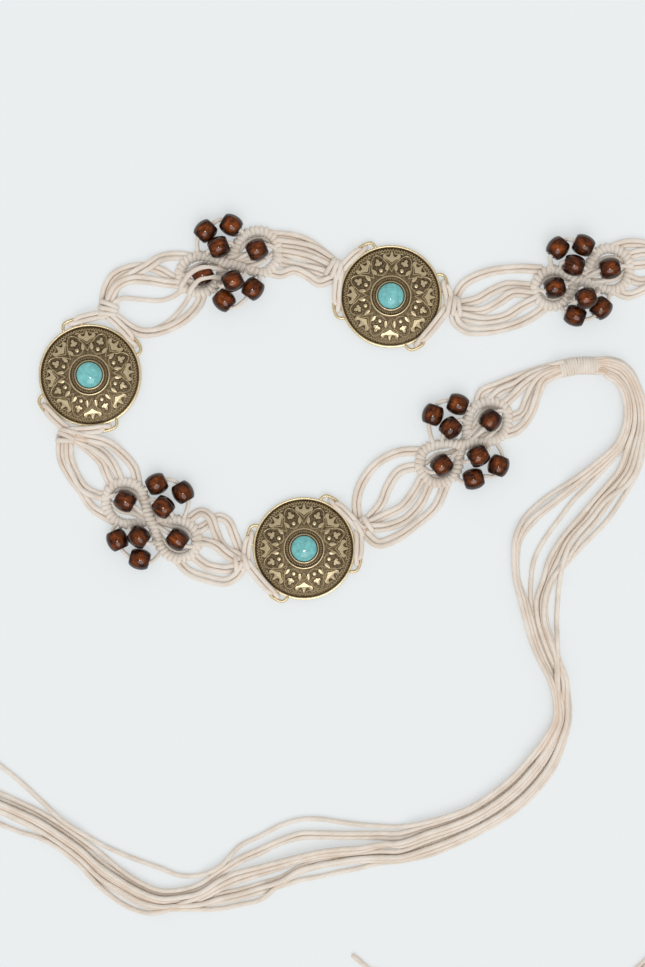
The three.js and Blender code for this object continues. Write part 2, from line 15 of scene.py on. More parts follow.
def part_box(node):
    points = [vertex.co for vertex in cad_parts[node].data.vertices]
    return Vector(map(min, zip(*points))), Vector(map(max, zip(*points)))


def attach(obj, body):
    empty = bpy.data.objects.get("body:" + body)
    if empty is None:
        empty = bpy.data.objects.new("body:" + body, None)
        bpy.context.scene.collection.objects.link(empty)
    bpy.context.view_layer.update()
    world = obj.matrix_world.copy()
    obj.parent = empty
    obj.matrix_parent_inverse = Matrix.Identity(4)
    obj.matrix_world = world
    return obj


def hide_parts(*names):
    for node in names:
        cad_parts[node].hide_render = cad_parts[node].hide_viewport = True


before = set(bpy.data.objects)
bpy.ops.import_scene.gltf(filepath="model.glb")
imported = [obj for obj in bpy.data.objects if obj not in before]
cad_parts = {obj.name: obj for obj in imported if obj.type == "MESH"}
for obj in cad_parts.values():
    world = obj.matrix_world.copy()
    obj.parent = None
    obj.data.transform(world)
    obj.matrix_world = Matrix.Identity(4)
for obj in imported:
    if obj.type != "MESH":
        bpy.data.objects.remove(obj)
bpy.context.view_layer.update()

bl_info = {
    "name": "Western belt",
    "version": (1, 0, 0),
    "blender": (4, 5, 0),
    "location": "3D View > Sidebar > Belt",
    "description": "Builds a belt of knotted cord, conchos, cabochons and wooden beads",
    "category": "Add Mesh",
}

# A name that ends in STEP is the distance between the points of a path, in millimetres
MM = 0.001
BODY = "root"
SEED = 7
# Painted crease shade: a warm shade is painted where a cord's surface lies this near to a neighbour's
# middle, in radii. It fades over the second distance
CREASE_SHADE_REACH = 1.3
CREASE_SHADE_FADE = 0.35
# Sides of a bare cord and of a thin one, points round a turn of cord and sides of that cord
CORD_SIDES = 12
THIN_SIDES = 8
TURN_POINTS = 14
TURN_SIDES = 8
# Points of a curve between two given ones, before they are spaced evenly
CURVE_POINTS = 12
# Thickness of the cotton cord, the number of strand marks round it, how much painted shade their grooves and
# the creases take of the warm tone, and how deep the marks are as a share of the fuzz
CORD_MILLIMETRES = 2.2
STRANDS = 3.0
STRAND_GROOVE_SHADE = 0.08
CREASE_SHADE_TINT = 0.62
STRAND_DEPTH = -0.3
# Aged brass: how much grime breaks up the rubbed places, what wear and grime together have to pass, how dark
# the foot lines are, the roughness of dark metal, and how much smoother rubbed metal is
BRASS_GRIME = 0.9
BRASS_LIMIT = 0.52
BRASS_SOOT = 0.65
BRASS_ROUGHNESS = 0.52
BRASS_SMOOTHER = -0.22
# Wood: how much patches, grain and the painted light on the top of each bead lighten it, and what is taken
# away from all of it
WOOD_PATCHES = 0.45
WOOD_GRAIN = 0.6
WOOD_TOP_LIGHT = 0.4
WOOD_DARKER = 0.37
# How far the veins of the turquoise wander, in metres
VEIN_BEND = 0.003

# The photograph's frame on the floor: its middle, its height and the size of one pixel
PHOTO_MIDDLE = (322.5, 483.5)
PHOTO_HEIGHT = 967
PIXEL = 0.4375 * MM
ORIGIN_PIXEL = (89.9, 375.2)

# The conchos: place and the direction in which the belt passes, degrees from +X
CONCHOS = {
    "middle": (0.0, 0.0, 72.0),
    "upper": (131.6, 34.5, -24.0),
    "lower": (93.7, -75.8, 22.5),
}
# The angle from the belt's direction to each wire loop, the number of equal parts of the ornament, and the
# number of points of the zigzag line
LOOP_TURN = 38.0
MOTIFS = 8
BORDER_POINTS = 104

# The four knotted stretches. cross and turn: where the two leaf-shaped loops cross, and the belt's direction
# there. left_px and right_px: the middle line of the row of hitches round each loop, from the crossing along
# the upper side. tips: the number of the point that is each loop's tip. knots: the concho that each square
# knot belongs to, the side of it and the knot's place. cords: how many bare cords lie side by side, and their
# route. over: single cords that lie on top. beads: the turn of each bead's hole in degrees
STRETCHES = {
    "upper_left": {
        "cross": (60.1, 48.3), "turn": 26.9,
        "left_px": [(226, 265), (215, 259), (204, 256), (193, 257), (184, 263), (180, 272), (181, 282),
                    (187, 290), (197, 292), (207, 291), (215, 285), (220, 276)],
        "right_px": [(229, 262), (234, 251), (239, 241), (246, 234), (257, 231), (268, 233), (275, 240),
                     (278, 250), (277, 260), (271, 268), (262, 273), (250, 270), (240, 267)],
        "tips": (5, 7),
        "knots": [("middle", 1, (7.9, 28.4)), ("upper", -1, (107.6, 46.4))],
        "cords": [
            (2, [(5.6, 29.4), (6.9, 36.8), (10.1, 42.9), (16.2, 46.4), (24.1, 47.7), (30.6, 45.9),
                 (36.8, 42)]),
            (2, [(8.8, 31), (11.8, 39.4), (18.4, 43.8), (25.4, 47.7), (31.5, 51.6), (38.5, 52.5),
                 (44.8, 51.6)]),
            (2, [(7.9, 30.5), (11.8, 38.5), (17.5, 41.6), (25.4, 41.6), (33.3, 40.3), (39.5, 39.8)]),
            (1, [(8.8, 30.2), (14, 33.7), (21.9, 33.3), (30.6, 32.8), (36.8, 34.6), (41.3, 38.2)]),
            (1, [(9.4, 27.5), (15.8, 21), (24.1, 19.3), (33.3, 22.8), (40.3, 29.8), (44.5, 36.4)]),
            (2, [(11, 25.5), (21.9, 18.8), (31.5, 19.7), (41.1, 24.5), (47.7, 31.5), (49.7, 37.3)]),
            (2, [(77.6, 61.7), (87.5, 60.8), (95.4, 58.2), (105.6, 50.9)]),
            (2, [(81.4, 58.2), (91.9, 56.9), (98.4, 54.7), (106.5, 49.8)]),
            (2, [(82.9, 53.8), (91.9, 52.5), (98.4, 50.3), (106.6, 46.3)]),
            (2, [(81.3, 50.4), (89.3, 48.1), (96.3, 46.4), (106.1, 43.8)]),
            (2, [(76.9, 46.1), (83.1, 44.2), (89.3, 45.9), (95.4, 43.3), (100.2, 40.3), (106, 42)]),
        ],
        "over": [
            [(39.5, 38.2, 3), (41.5, 40.8, 6), (44.5, 44, 9.6), (49, 46.3, 10.8), (54.5, 46.4, 8),
             (58, 45.8, 4.5)],
            [(43.5, 35.6, 3.5), (45.3, 38.4, 6.8), (48.4, 41.2, 10.2), (52.6, 42.4, 9.4), (57, 42.6, 5)],
            [(60.4, 51.3, 3.6), (64.5, 52.3, 2.6), (69.5, 53.2, 2.4)],
            [(62.2, 49.1, 3.4), (66, 50.4, 2.4), (71, 51.8, 2.2)],
            [(64.5, 46.4, 3.2), (70, 47.6, 2.2), (76.5, 50.2, 2.4)],
        ],
        "beads": {
            "loop_left": 33, "loop_right": 25, "above_inner": 22, "above_left": 45, "above_right": -31,
            "below_inner": 27, "below_left": -45, "below_right": 55,
        },
    },
    "upper_right": {
        "cross": (213.9, 41.5), "turn": 18.8,
        "left_px": [(577, 281), (568, 274), (558, 270), (547, 271), (539, 277), (535, 287), (537, 297),
                    (545, 304), (556, 306), (565, 301), (571, 292)],
        "right_px": [(580, 279), (586, 270), (592, 260), (599, 251), (608, 248), (618, 250), (626, 256),
                     (629, 266), (628, 277), (622, 286), (612, 290), (600, 288), (590, 284)],
        "tips": (5, 7),
        "knots": [("upper", 1, (158.8, 30.2))],
        "cords": [
            (2, [(159.1, 33), (163.6, 39.8), (169.8, 43.3), (178.1, 45.9), (187.3, 46.8), (197.6, 46.4)]),
            (2, [(161.2, 31.1), (169.8, 33.3), (175.9, 36.8), (182.4, 39.4), (193.3, 38.9)]),
            (2, [(161.1, 28.5), (171.5, 28.4), (178.9, 31.9), (185.5, 35.9), (193.8, 35.3)]),
            (2, [(160.1, 26.4), (172.8, 24.1), (182, 25.8), (189, 30.2), (195.3, 33.3)]),
            (2, [(158.9, 27.8), (160.4, 23.2), (165.2, 19.9), (175, 19.7), (185.9, 22.3), (195.1, 26.7),
                 (200.4, 30.9)]),
            (2, [(227, 55.4), (234.9, 57.8), (242.8, 57.3), (251.1, 54.7), (260, 50.7, 4.4)]),
            (2, [(233.5, 51.6), (240.6, 53.8), (247.6, 53.4), (260.3, 50, 3.2)]),
            (2, [(235.2, 47.7), (242.8, 48.6), (250.3, 49.4), (260.6, 49.2, 2)]),
            (2, [(234.4, 43.3), (241.5, 41.1), (249.4, 43.8), (260.9, 48.5, 3.4)]),
            (2, [(229.4, 37.6), (235.4, 35), (242.8, 37.6), (251.1, 42.4), (261.2, 47.8, 2.4)]),
        ],
        "over": [
            [(214.9, 44.6, 3.6), (218.4, 45.7, 2.6), (223.4, 46.6, 2.4)],
            [(216.4, 42.6, 3.4), (220.4, 43.8, 2.4), (224.8, 45.1, 2.2)],
            [(218.6, 40.1, 3.2), (224, 41.2, 2.4), (230, 43.9, 2.4)],
        ],
        "beads": {
            "loop_left": 18, "loop_right": 12, "above_inner": -15, "above_left": 50, "above_right": -25,
            "below_inner": 19, "below_left": -20, "below_right": 50,
        },
    },
    "lower_left": {
        "cross": (26.4, -63.5), "turn": -36.3,
        "left_px": [(150, 519), (147, 508), (144, 497), (139, 487), (130, 483), (119, 483), (110, 488),
                    (106, 498), (107, 508), (112, 517), (121, 523), (133, 524), (143, 522)],
        "right_px": [(151, 520), (160, 518), (171, 519), (183, 521), (192, 526), (197, 535), (197, 546),
                     (191, 554), (181, 558), (170, 556), (162, 549), (157, 539), (154, 529)],
        "tips": (7, 6),
        "knots": [("middle", -1, (-9.6, -26.2)), ("lower", -1, (66.5, -81.9))],
        "cords": [
            (2, [(-12.7, -26.3), (-12.7, -36.3), (-9.2, -43.8), (-3.9, -50.8), (1.3, -58.2), (10.3, -63.7)]),
            (2, [(-9.2, -27.5), (-8.8, -36.3), (-6.1, -43.8), (-1.8, -49.9), (8.1, -54)]),
            (2, [(-7.1, -27.4), (0, -33.3), (4.8, -38.1), (7, -43.3), (9.6, -48.6)]),
            (2, [(-6, -27.4), (3.5, -32.4), (8.8, -37.2), (11.8, -42.4), (13.8, -47.6)]),
            (2, [(-5.8, -26.6), (0.8, -27.6), (8.2, -29.6), (14.4, -35), (19.3, -41.1), (21, -48.3)]),
            (2, [(66.1, -78.1), (63.4, -70.4), (60.4, -63.9), (56, -62.1), (51.6, -65.2), (45.8, -68.6)]),
            (2, [(65.6, -79.4), (58.6, -75.3), (55.1, -68.7), (52.5, -62.1), (48.6, -59.9), (42.9, -63.4)]),
            (2, [(64.8, -81.4), (59.5, -77.9), (54.7, -73.9), (49.9, -72.6), (45, -72.6)]),
            (2, [(65.6, -83.6), (58.6, -84.9), (51.6, -83.6), (46.4, -80.1), (42.3, -76.6)]),
            (2, [(67.4, -82.6), (64.4, -87.2), (59.5, -90.1), (50.8, -88.8), (42.9, -85.8), (37.2, -79.6)]),
        ],
        "over": [
            [(27.7, -64.9, 3.4), (31, -66.9, 2.6), (35.2, -69.4, 2.4)],
            [(25.2, -62.2, 3.4), (22.6, -60.1, 2.6), (19.2, -57.6, 2.4)],
            [(24.4, -63.8, 3.2), (21.4, -61.6, 2.4), (17.8, -59, 2.2)],
        ],
        "beads": {
            "loop_left": -30, "loop_right": -36, "above_inner": -40, "above_left": 25, "above_right": -60,
            "below_inner": -36, "below_left": -65, "below_right": -15,
        },
    },
    "lower_right": {
        "cross": (163.5, -31.4), "turn": 44.8,
        "left_px": [(463, 444), (450, 443), (437, 445), (427, 448), (421, 456), (420, 466), (424, 475),
                    (433, 482), (444, 482), (453, 477), (458, 467), (459, 458)],
        "right_px": [(463, 446), (467, 436), (467, 425), (470, 413), (477, 405), (489, 402), (501, 404),
                     (507, 411), (508, 421), (505, 431), (497, 439), (486, 442), (474, 442)],
        "tips": (5, 7),
        "knots": [("lower", 1, (119.2, -66.0))],
        "cords": [
            (2, [(117.1, -63), (116.8, -54.7), (119.9, -45.9), (126.9, -37.6), (135.6, -33.7), (145, -33.2)]),
            (2, [(120.6, -64.1), (127.3, -56.4), (130.4, -49), (134.8, -42.4), (140, -40.3), (145.9, -40.3)]),
            (2, [(121.1, -65.4), (129.1, -61.3), (136.9, -57.3), (141.8, -51.2), (145.2, -45)]),
            (2, [(121.1, -66.8), (130.4, -66.1), (138.3, -63), (144.8, -56), (149, -46.9)]),
            (2, [(120.6, -69.3), (126, -73.5), (133.9, -71.3), (142.6, -65.2), (151.4, -57.3),
                 (156.2, -46.6)]),
            (2, [(169.4, -13.1), (171.5, -7.4), (178.5, -4.4), (186.4, -1.3), (195.6, 1.8),
                 (204.7, 4.1, 4.4)]),
            (2, [(174.6, -11.6), (179.4, -7), (185.5, -4.4), (192.5, -0.4), (204.8, 3.3, 3.2)]),
            (2, [(180.9, -13.2), (185.1, -9.2), (189.4, -4.8), (195.1, -0.9), (205, 2.5, 2)]),
            (2, [(183.2, -19), (189, -16.2), (191.6, -10.1), (194.3, -4.8), (198.2, -0.9),
                 (205.1, 1.7, 3.4)]),
            (2, [(179.3, -26.2), (186.8, -24.1), (192.9, -17.1), (195.6, -9.6), (198.2, -3.1),
                 (205.2, 1, 2.4)]),
        ],
        "over": [
            [(164.4, -28.2, 3.6), (167, -25.3, 2.6), (170.8, -21.8, 2.4)],
            [(165.9, -29.6, 3.4), (168.8, -26.9, 2.4), (172.3, -23.8, 2.2)],
            [(167.6, -31.6, 3.2), (171.8, -28.8, 2.4), (176.8, -24.6, 2.4)],
        ],
        "beads": {
            "loop_left": 40, "loop_right": 52, "above_inner": 45, "above_left": 70, "above_right": -20,
            "below_inner": 30, "below_left": 15, "below_right": 70,
        },
    },
}
# Rows of hitches: the height of their middle, how far one row rises over the other at the crossing and
# within what distance of it, how far a hitch leans and by how much that varies, in radians, and how thick a
# cord is in a hitch, in diameters. The core is a round cord inside the hitches, a little below their middle
ROW_STEP = 1.0
ROW_HEIGHT = 2.0
CROSSING_RISE = 2.3
CROSSING_REACH = 5.5
ROW_TILT = 0.2
ROW_LOOSENESS = 0.12
HITCH_CORD = 1.08
ROW_CORE = 1.25
ROW_CORE_DROP = 0.1
# Bare cords side by side: the distance between two of them in diameters, the reach in points and the size
# of a slow drift, and how far a cord that ends in a wrapped knot runs on into it
SPAN_STEP = 1.1
SPAN_BESIDE = 0.99
SPAN_DRIFT = (9, 0.35)
SPAN_TUCK = 2.5
# Bead strings: the height of their ends, their radius, how far they run straight beyond a bead, and how far
# from the crossing the strings of the two loops end
STRING_STEP = 0.9
STRING_HEIGHT = 2.2
STRING_RADIUS = 0.9
STRING_STRAIGHT = 0.4
STRING_END = 1.5
# Bare cords that pass under the bead of a loop: their height, and how far they bow aside along the way
STRAND_HEIGHT = 1.4
LOOP_BOWS = ((-4.5, 3.8), (0.0, 5.0), (4.5, 3.8))
# How cords lie over each other. Cords whose middles are this near, in diameters, lie one on the other, and
# press together to this share of their height. However many lie on each other, the middle of the topmost
# stays less than the last distance above that of the lowest
LIES_OVER = 0.97
PRESSED = 0.96
PILE_HEIGHT = 3.6
# The domed end of a cord: distance from its last point and radius, both in radii
END_DOME = ((0.3, 0.85), (0.6, 0.45))
# The turn of the strand marks from one cord to the next, in knotwork and in the tails
SPAN_TWIST = 0.37
TAIL_TWIST = 0.31

# The cords between a square knot and the two wire loops. Meeting: how far below the knot they cross. Loop:
# the distance of a loop from the concho's middle. End: where a cord ends under the knot, as distance beyond
# the knot's middle, distance sideways, half the distance between two ends, and height. Run: share of the
# way from the loop to the meeting, shift outwards, spread to each side and height. Turn: the rows in which
# the cords lie side by side in the loop. Beside: half the distance between them there. Over: how far the
# cords of one loop rise, and those of the other sink, where they cross
BAND_STEP = 0.7
BAND_CORD = 2.1
BAND_MEETING = 2.6
BAND_LOOP = 23.7
BAND_END = (0.8, -2.2, 0.7, 2.9)
BAND_RUN = (
    (1.0, 0.9, 1.05, 4.0), (0.72, 1.1, 1.05, 4.2), (0.42, 1.2, 1.05, 4.3), (0.2, 0.9, 0.9, 4.3),
    (0.05, 0.1, 0.0, 3.4), (0.02, 0.0, 0.0, 1.7), (0.2, 0.9, 0.8, 1.15), (0.45, 1.2, 1.05, 1.15),
    (0.75, 1.2, 1.05, 1.15),
)
BAND_TURN = (5, 6)
BAND_BESIDE = 0.9
BAND_OVER = 0.5
# A square knot: its height on the floor, the stretch that its turns cover, along the way out from the concho,
# and the size and lean of its turns
KNOT_HEIGHT = 3.4
KNOT_RUN = (-1.8, 0.4, 2.6)
KNOT_TURNS = {"Width": 9.6 * MM, "Height": 6.8 * MM, "Pitch": 2.2 * MM, "Tilt": 0.1, "Looseness": 0.22}

# The wrapped knots: the size and lean of their turns, how far the turns keep from the ends, the core that
# they are wound on, and the middle line from the knotwork to the tail
WRAP_TURNS = {"Cord": 1.35 * MM, "Pitch": 1.05 * MM, "Tilt": 0.05, "Looseness": 0.05}
WRAP_STEP = 0.8
WRAP_INSET = 0.5
WRAP_CORE = 2.4
WRAP_CORE_STEP = 1.5
WRAPS = {
    "upper": [(261, 49.4, 3.4), (268.5, 52.7, 3.4), (276.2, 55.2, 3.4)],
    "lower": [(205.4, 2.6, 3.4), (213.5, 4.1, 3.4), (222.3, 4, 3.4)],
}

# The cords that leave a wrapped knot: the width that they fill, how far inside and outside the knot's end the
# first two places lie, and how much wider they are by then
TAIL_CORDS = 10
BUNDLE_WIDTH = 5.6
BUNDLE_INSIDE = 1.5
BUNDLE_OUTSIDE = 2.5
BUNDLE_FAN = 1.1

# Loose cords: the distance between their points, over how many points they fall from the knot to the floor
# and how steeply, and the reach in points and the size of a slow drift
TAIL_STEP = 1.2
TAIL_FALL = 24
TAIL_STEEPNESS = 1.5
TAIL_DRIFT = (24, 0.12)

# The upper tail: middle of the bundle and the width that its cords spread over. It lies outside the
# photograph, all but the end of the longest cord. Its cords drift within the bundle by shares of its width
UPPER_DRIFT = (4, 0.16)
LONGEST_CORD = 4
UPPER_TAIL = [
    (284.4, 54.3, 9), (290.9, 49.4, 10), (294.4, 40.7, 11), (295.8, 28.4, 12), (296.6, 10.9, 14),
    (297.1, -10.9, 16), (296.6, -32.8, 18), (294.9, -54.7, 18), (292.3, -80.9, 16), (289.6, -107.2, 13),
    (287.9, -133.4, 10), (287, -155.3, 9), (285.3, -177.2, 9), (281.3, -199.1, 11), (274.8, -220, 14),
    (264.7, -240, 16), (252, -257.5, 16), (236, -269.5, 14), (214, -275.5, 15), (188, -277.5, 18),
    (162, -276.5, 18), (142, -271.5, 15), (128, -265, 9), (115.2, -254.2, 3),
]

# The lower tail, read from the photograph. Its ten cords are numbered from the top at the left edge.
# Bend: inner and outer edge of the bundle at each section. WRAP_RANK is each cord's place across it.
TAIL_BEND_PX = [
    (606, 377.5, 609, 357.5), (613, 382, 623, 361.5), (619, 389, 633, 371), (623, 400, 641, 387),
    (624, 415, 647, 405), (621, 430, 649, 425), (613, 445, 647, 444),
]
WRAP_RANK = (0, 1, 7, 8, 2, 6, 3, 9, 4, 5)
# Down: a photo row and where each cord crosses it
TAIL_DOWN_PX = [
    (470, (586, 592, 631, 636, 598, 627, 603, 638.5, 619, 623)),
    (485, (565, 574, 621, 626, 579, 616, 589, 631, 607, 612)),
    (500, (543, 555, 611, 606, 560, 601, 574, 621.5, 594, 597.5)),
    (520, (523, 530, 597, 590, 536.5, 586, 559, 607.5, 577, 581)),
    (540, (514.5, 517.5, 580, 572, 521, 568, 544.5, 588.5, 560.5, 564)),
    (560, (513.5, 516, 566, 563.5, 518, 558, 534.5, 569.5, 549, 553.5)),
    (580, (515, 517.5, 551, 559.5, 519, 549, 531.5, 553.5, 543, 546)),
    (600, (520, 523, 544.5, 558, 526, 542.5, 531, 546, 536.5, 540)),
    (620, (525, 528, 544, 557, 531.5, 543, 534.5, 546, 538, 541)),
    (640, (530.5, 533.5, 550, 557, 537, 549, 540.5, 552, 544, 547)),
    (660, (538.5, 541.5, 556, 557.5, 545, 556.5, 548.5, 558.5, 552, 555)),
    (680, (549, 551, 556, 557.5, 554.5, 563, 559, 566, 562.5, 565.5)),
    (700, (554.5, 556, 557.5, 558.5, 561, 563, 564.5, 566.5, 567.5, 569)),
    (720, (554, 555.5, 557.5, 559.5, 561.5, 563, 564.5, 566.5, 568, 569.5)),
    (740, (543, 545.5, 548.5, 551, 553.5, 556, 558, 560.5, 563, 565)),
]
# Turn: upper and lower edge of the bundle at each section
TAIL_TURN_PX = [
    (530, 754, 556, 768), (510, 776, 535, 796), (490, 792, 511, 817), (470, 805, 484, 833),
    (450, 813, 460, 845), (425, 820, 431, 857),
]
# Left: a photo column and where each cord crosses it
TAIL_LEFT_PX = [
    (400, (827, 833.5, 839, 842.5, 846, 851, 854, 856.5, 859, 861.5)),
    (380, (826.5, 833.5, 838.5, 843.5, 846, 851, 854.5, 857, 860, 863.5)),
    (360, (825, 833.5, 838, 847, 850.5, 853, 857.5, 858, 861, 868.5)),
    (340, (822.5, 833.5, 838, 848.5, 852.5, 854.5, 858, 861, 863.5, 872.5)),
    (320, (819.5, 833, 837.5, 851, 854, 857, 860, 865, 867, 877)),
    (300, (820, 833.5, 838.5, 855.5, 859, 861.5, 867, 870, 872.5, 880.5)),
    (280, (826, 840, 844, 861, 865.5, 869, 878, 881.5, 884, 887)),
    (260, (836.5, 849, 854, 866.5, 871, 875.5, 884, 888, 900, 893)),
    (240, (846.5, 858, 863, 872, 877, 882, 890, 894, 905, 898.5)),
    (220, (866, 870.5, 876, 880, 885, 889.5, 894.5, 898.5, 909, 902.5)),
    (200, (875.5, 884, 889, 892.5, 896, 899.5, 901.5, 904, 909, 905)),
    (180, (876, 890, 894, 897, 904, 900.5, 902.5, 905, 908.5, 907)),
    (160, (868.5, 890.5, 894.5, 898, 911.5, 901, 904, 906, 908, 905)),
    (140, (861.5, 882.5, 887, 891, 912, 894, 898, 901, 904.5, 896)),
    (120, (853.5, 869.5, 875, 879.5, 903, 882, 886.5, 890, 893.5, 884.5)),
    (100, (844, 853.5, 861, 866, 887, 869, 874, 878, 881.5, 871.5)),
    (80, (832, 838, 843.5, 848, 865, 851, 855, 858.5, 861, 853)),
    (60, (818.5, 824, 829.5, 834, 849, 837, 840, 843, 846, 838.5)),
    (40, (800.5, 812, 817.5, 821, 838, 824, 827, 830, 832, 825.5)),
    (20, (782, 802.5, 808, 811.5, 832.5, 814, 816.5, 819, 821.5, 815)),
    (0, (766, 793.5, 799.5, 803, 824.5, 805.5, 808, 810, 812, 806.5)),
    (-18, (752, 786.5, 792, 796, 815, 799, 801.5, 804, 806, 800)),
    (-36, (738, 779, 784, 789, 805, 792, 795, 797, 800, 793.5)),
]
# The order in which the lower tail's cords were laid down, the last on top
TAIL_LAYERS = (6, 9, 8, 5, 4, 7, 2, 1, 0, 3)

# The dome of a concho: its inner and outer edge, its height at the inner one, how far it falls to the outer
# one, how far it bulges halfway, and the first and last radius and the number of its rows
DOME_EDGES = (9.2, 20.6)
DOME_TOP = 4.9
DOME_FALL = 2.6
DOME_BULGE = 0.55
DOME_ROWS = (20.2, 9.6, 16)
DOME_WEAR = 0.12
# The turned disc: radius, height and wear from the middle of its back round the rim to the dome, and from the
# dome inwards over the bezel to the seat of the stone
DISC_SIDES = 128
DISC_RIM = [
    (0, 0, 0.1), (22.0, 0, 0.1), (22.45, 0.5, 0.3), (22.5, 1.2, 0.5), (22.45, 2.3, 0.8), (22.3, 2.65, 1.2),
    (21.95, 2.8, 1.2), (21.6, 2.7, 1.1), (21.4, 2.4, 0.1), (21.2, 2.0, -0.4), (20.7, 2.25, 0.1),
]
DISC_SEAT = [
    (9.2, 4.85, 0.15), (9.0, 5.05, 0.5), (8.8, 5.35, 1.0), (8.55, 5.4, 1.0), (8.4, 5.2, 0.6),
    (8.25, 4.7, 0.0), (7.9, 4.5, 0.0), (7.2, 4.55, 0.05), (6.75, 4.8, 0.1), (6.55, 5.5, 0.5),
    (6.35, 5.85, 0.9), (6.1, 5.9, 0.8), (5.95, 5.7, 0.4), (5.9, 4.7, 0.0), (0, 4.7, 0.0),
]
# Edges sharper than this, in degrees, aren't shaded smooth
SHARP_ANGLE = 42
# A wire loop: radius of the wire, its sides, and how worn it is
WIRE_STEP = 0.5
WIRE_RADIUS = 0.75
WIRE_SIDES = 10
WIRE_WEAR = 0.95
# Raised motifs: the dark line round the foot as distance outwards, height above the dome and wear, the
# share of the height at which the side ends and its wear, how far the top is drawn in, and the heights of the
# leaves and of the dots and drops as shares of the palmettes'
MOTIF_FOOT = ((0.42, 0.015, -0.3), (0.12, 0.02, -1.0))
MOTIF_SIDE = (0.7, 0.8)
MOTIF_BEVEL = 0.13
DOT_BEVEL = 0.2
LEAF_LIFT = 0.9
SMALL_LIFT = 0.8
# Places of the dot and the drops: radius, and for a drop its angle to each side and its lean in degrees
DOT_PLACE = 11.9
DOT_RADIUS = 0.88
DOT_POINTS = 12
DROP_PLACE = 12.7
DROP_ANGLE = 0.23
DROP_LEAN = 14
# Drawn lines: radius, sides, distance between points, height above the dome and wear
LINE_RADIUS = 0.2
LINE_SIDES = 5
LINE_STEP = 0.6
LINE_LIFT = 0.02
LINE_WEAR = 0.75
# The zigzag line round the rim: inner and outer radius, height above the dome and wear
BORDER_EDGES = (19.55, 20.55)
BORDER_LIFT = 0.04
BORDER_WEAR = 0.8
# Milled rings: radius, number of grains, half the length and half the width of one, its lean in degrees,
# and the height of its foot, or none where it stands on the dome. A grain: sides, depth of its foot, rise
# of its top, size of its top as a share, and wear of foot and top
MILLED_RINGS = ((7.45, 56, (0.66, 0.27), 35, 4.6), (19.2, 120, (0.2, 0.3), 0, None))
GRAIN_SIDES = 6
GRAIN_DEPTH = 0.1
GRAIN_RISE = 0.2
GRAIN_TOP = 0.6
GRAIN_WEAR = (0.05, 0.4)
# A cabochon: radius, sides, tilts of its flank in degrees, how round its flank and its top are, radius of its
# foot as a share, and the heights of its edge and of the start of its flank as shares
STONE_RADIUS = 5.65
STONE_SIDES = 64
STONE_TILTS = (12, 86, 12)
STONE_FLANK = 0.85
STONE_TOP = 1.1
STONE_FOOT = 0.96
STONE_EDGE = 0.12
STONE_START = 0.1
# A bead: sides, tilt of its flank at the shoulder in degrees, rows of the flank, how round it is and where
# the shoulder lies as a share of half the length. The mouth of its hole: width of the bevel, places along
# the bead, and the edge of the flat end as a share of the radius. Fade: how the painted light on the top of
# the bead fades towards the ends
BEAD_SIDES = 40
BEAD_SHOULDER = 54
BEAD_ROWS = 17
BEAD_FLANK = 0.75
BEAD_SHOULDER_PLACE = 0.985
BEAD_BEVEL = 0.2
BEAD_MOUTH = (0.9, 0.99)
BEAD_FACE = 0.55
TOP_LIGHT_FADE = 0.75

# The stage: half the floor's width in metres, and the height in millimetres at which the camera's scale holds
FLOOR_HALF = 4.0
SHARP_HEIGHT = 2.5


def spot(px, py):
    """A pixel of the photograph as a place on the floor, in metres."""
    return ((px - ORIGIN_PIXEL[0]) * PIXEL, (ORIGIN_PIXEL[1] - py) * PIXEL)


def rgb(red, green, blue):
    """A colour of the photograph, 0 to 255, as the linear values that a shader reads."""
    def linear(value):
        share = value / 255
        return share / 12.92 if share <= 0.04045 else ((share + 0.055) / 1.055) ** 2.4
    return (linear(red), linear(green), linear(blue))


def size(name, note, millimetres):
    """A setting for a length."""
    return bpy.props.FloatProperty(name=name, description=note, default=millimetres * MM, unit="LENGTH")


def number(name, note, value):
    """A setting for a plain number."""
    return bpy.props.FloatProperty(name=name, description=note, default=value)


def colour(name, note, photo_colour):
    """A setting for a colour."""
    return bpy.props.FloatVectorProperty(
        name=name, description=note, subtype="COLOR", default=rgb(*photo_colour))


class CordSettings(bpy.types.PropertyGroup):
    diameter: size("Diameter", "Thickness of the cotton cord", CORD_MILLIMETRES)
    twist: number("Twist", "Turns of the strand marks for each cord diameter of length", 0.55)
    light: colour("Light tone", "Colour of the cotton where it is cleanest", (235, 227, 217))
    shade: colour("Shade tone", "Colour of the cotton where it is duller", (223, 212, 199))
    # The crease tone is painted warm shade, for the creases where cords touch and the grooves between strand
    # marks
    crease: colour("Crease tone", "Warm tone where cords touch", (196, 148, 100))


class KnotSettings(bpy.types.PropertyGroup):
    row_width: size("Row width", "Width of a row of hitches", 5.2)
    row_height: size("Row height", "Height of a row of hitches", 3.8)
    pitch: size("Pitch", "Distance from one hitch to the next", 1.95)
    wrap_width: size("Wrap width", "Width of the wrapped knot", 8.3)
    wrap_height: size("Wrap height", "Height of the wrapped knot", 6.4)


class ConchoSettings(bpy.types.PropertyGroup):
    relief: size("Relief", "Height of the ornament above the dome", 0.45)
    patina: colour("Patina", "Colour of the dark ground", (99, 80, 53))
    worn: colour("Worn brass", "Colour of the rubbed high places", (245, 225, 182))
    stone: colour("Stone", "Colour of the cabochon", (123, 194, 194))


class BeadSettings(bpy.types.PropertyGroup):
    radius: size("Radius", "Radius of a bead at its middle", 4.7)
    length: size("Length", "Length of a bead along its hole", 8.8)
    hole: size("Hole", "Radius of the drilled hole", 1.6)
    dark: colour("Dark grain", "Colour of the darkest grain", (40, 17, 8))
    warm: colour("Warm grain", "Colour of the warm grain", (180, 97, 38))


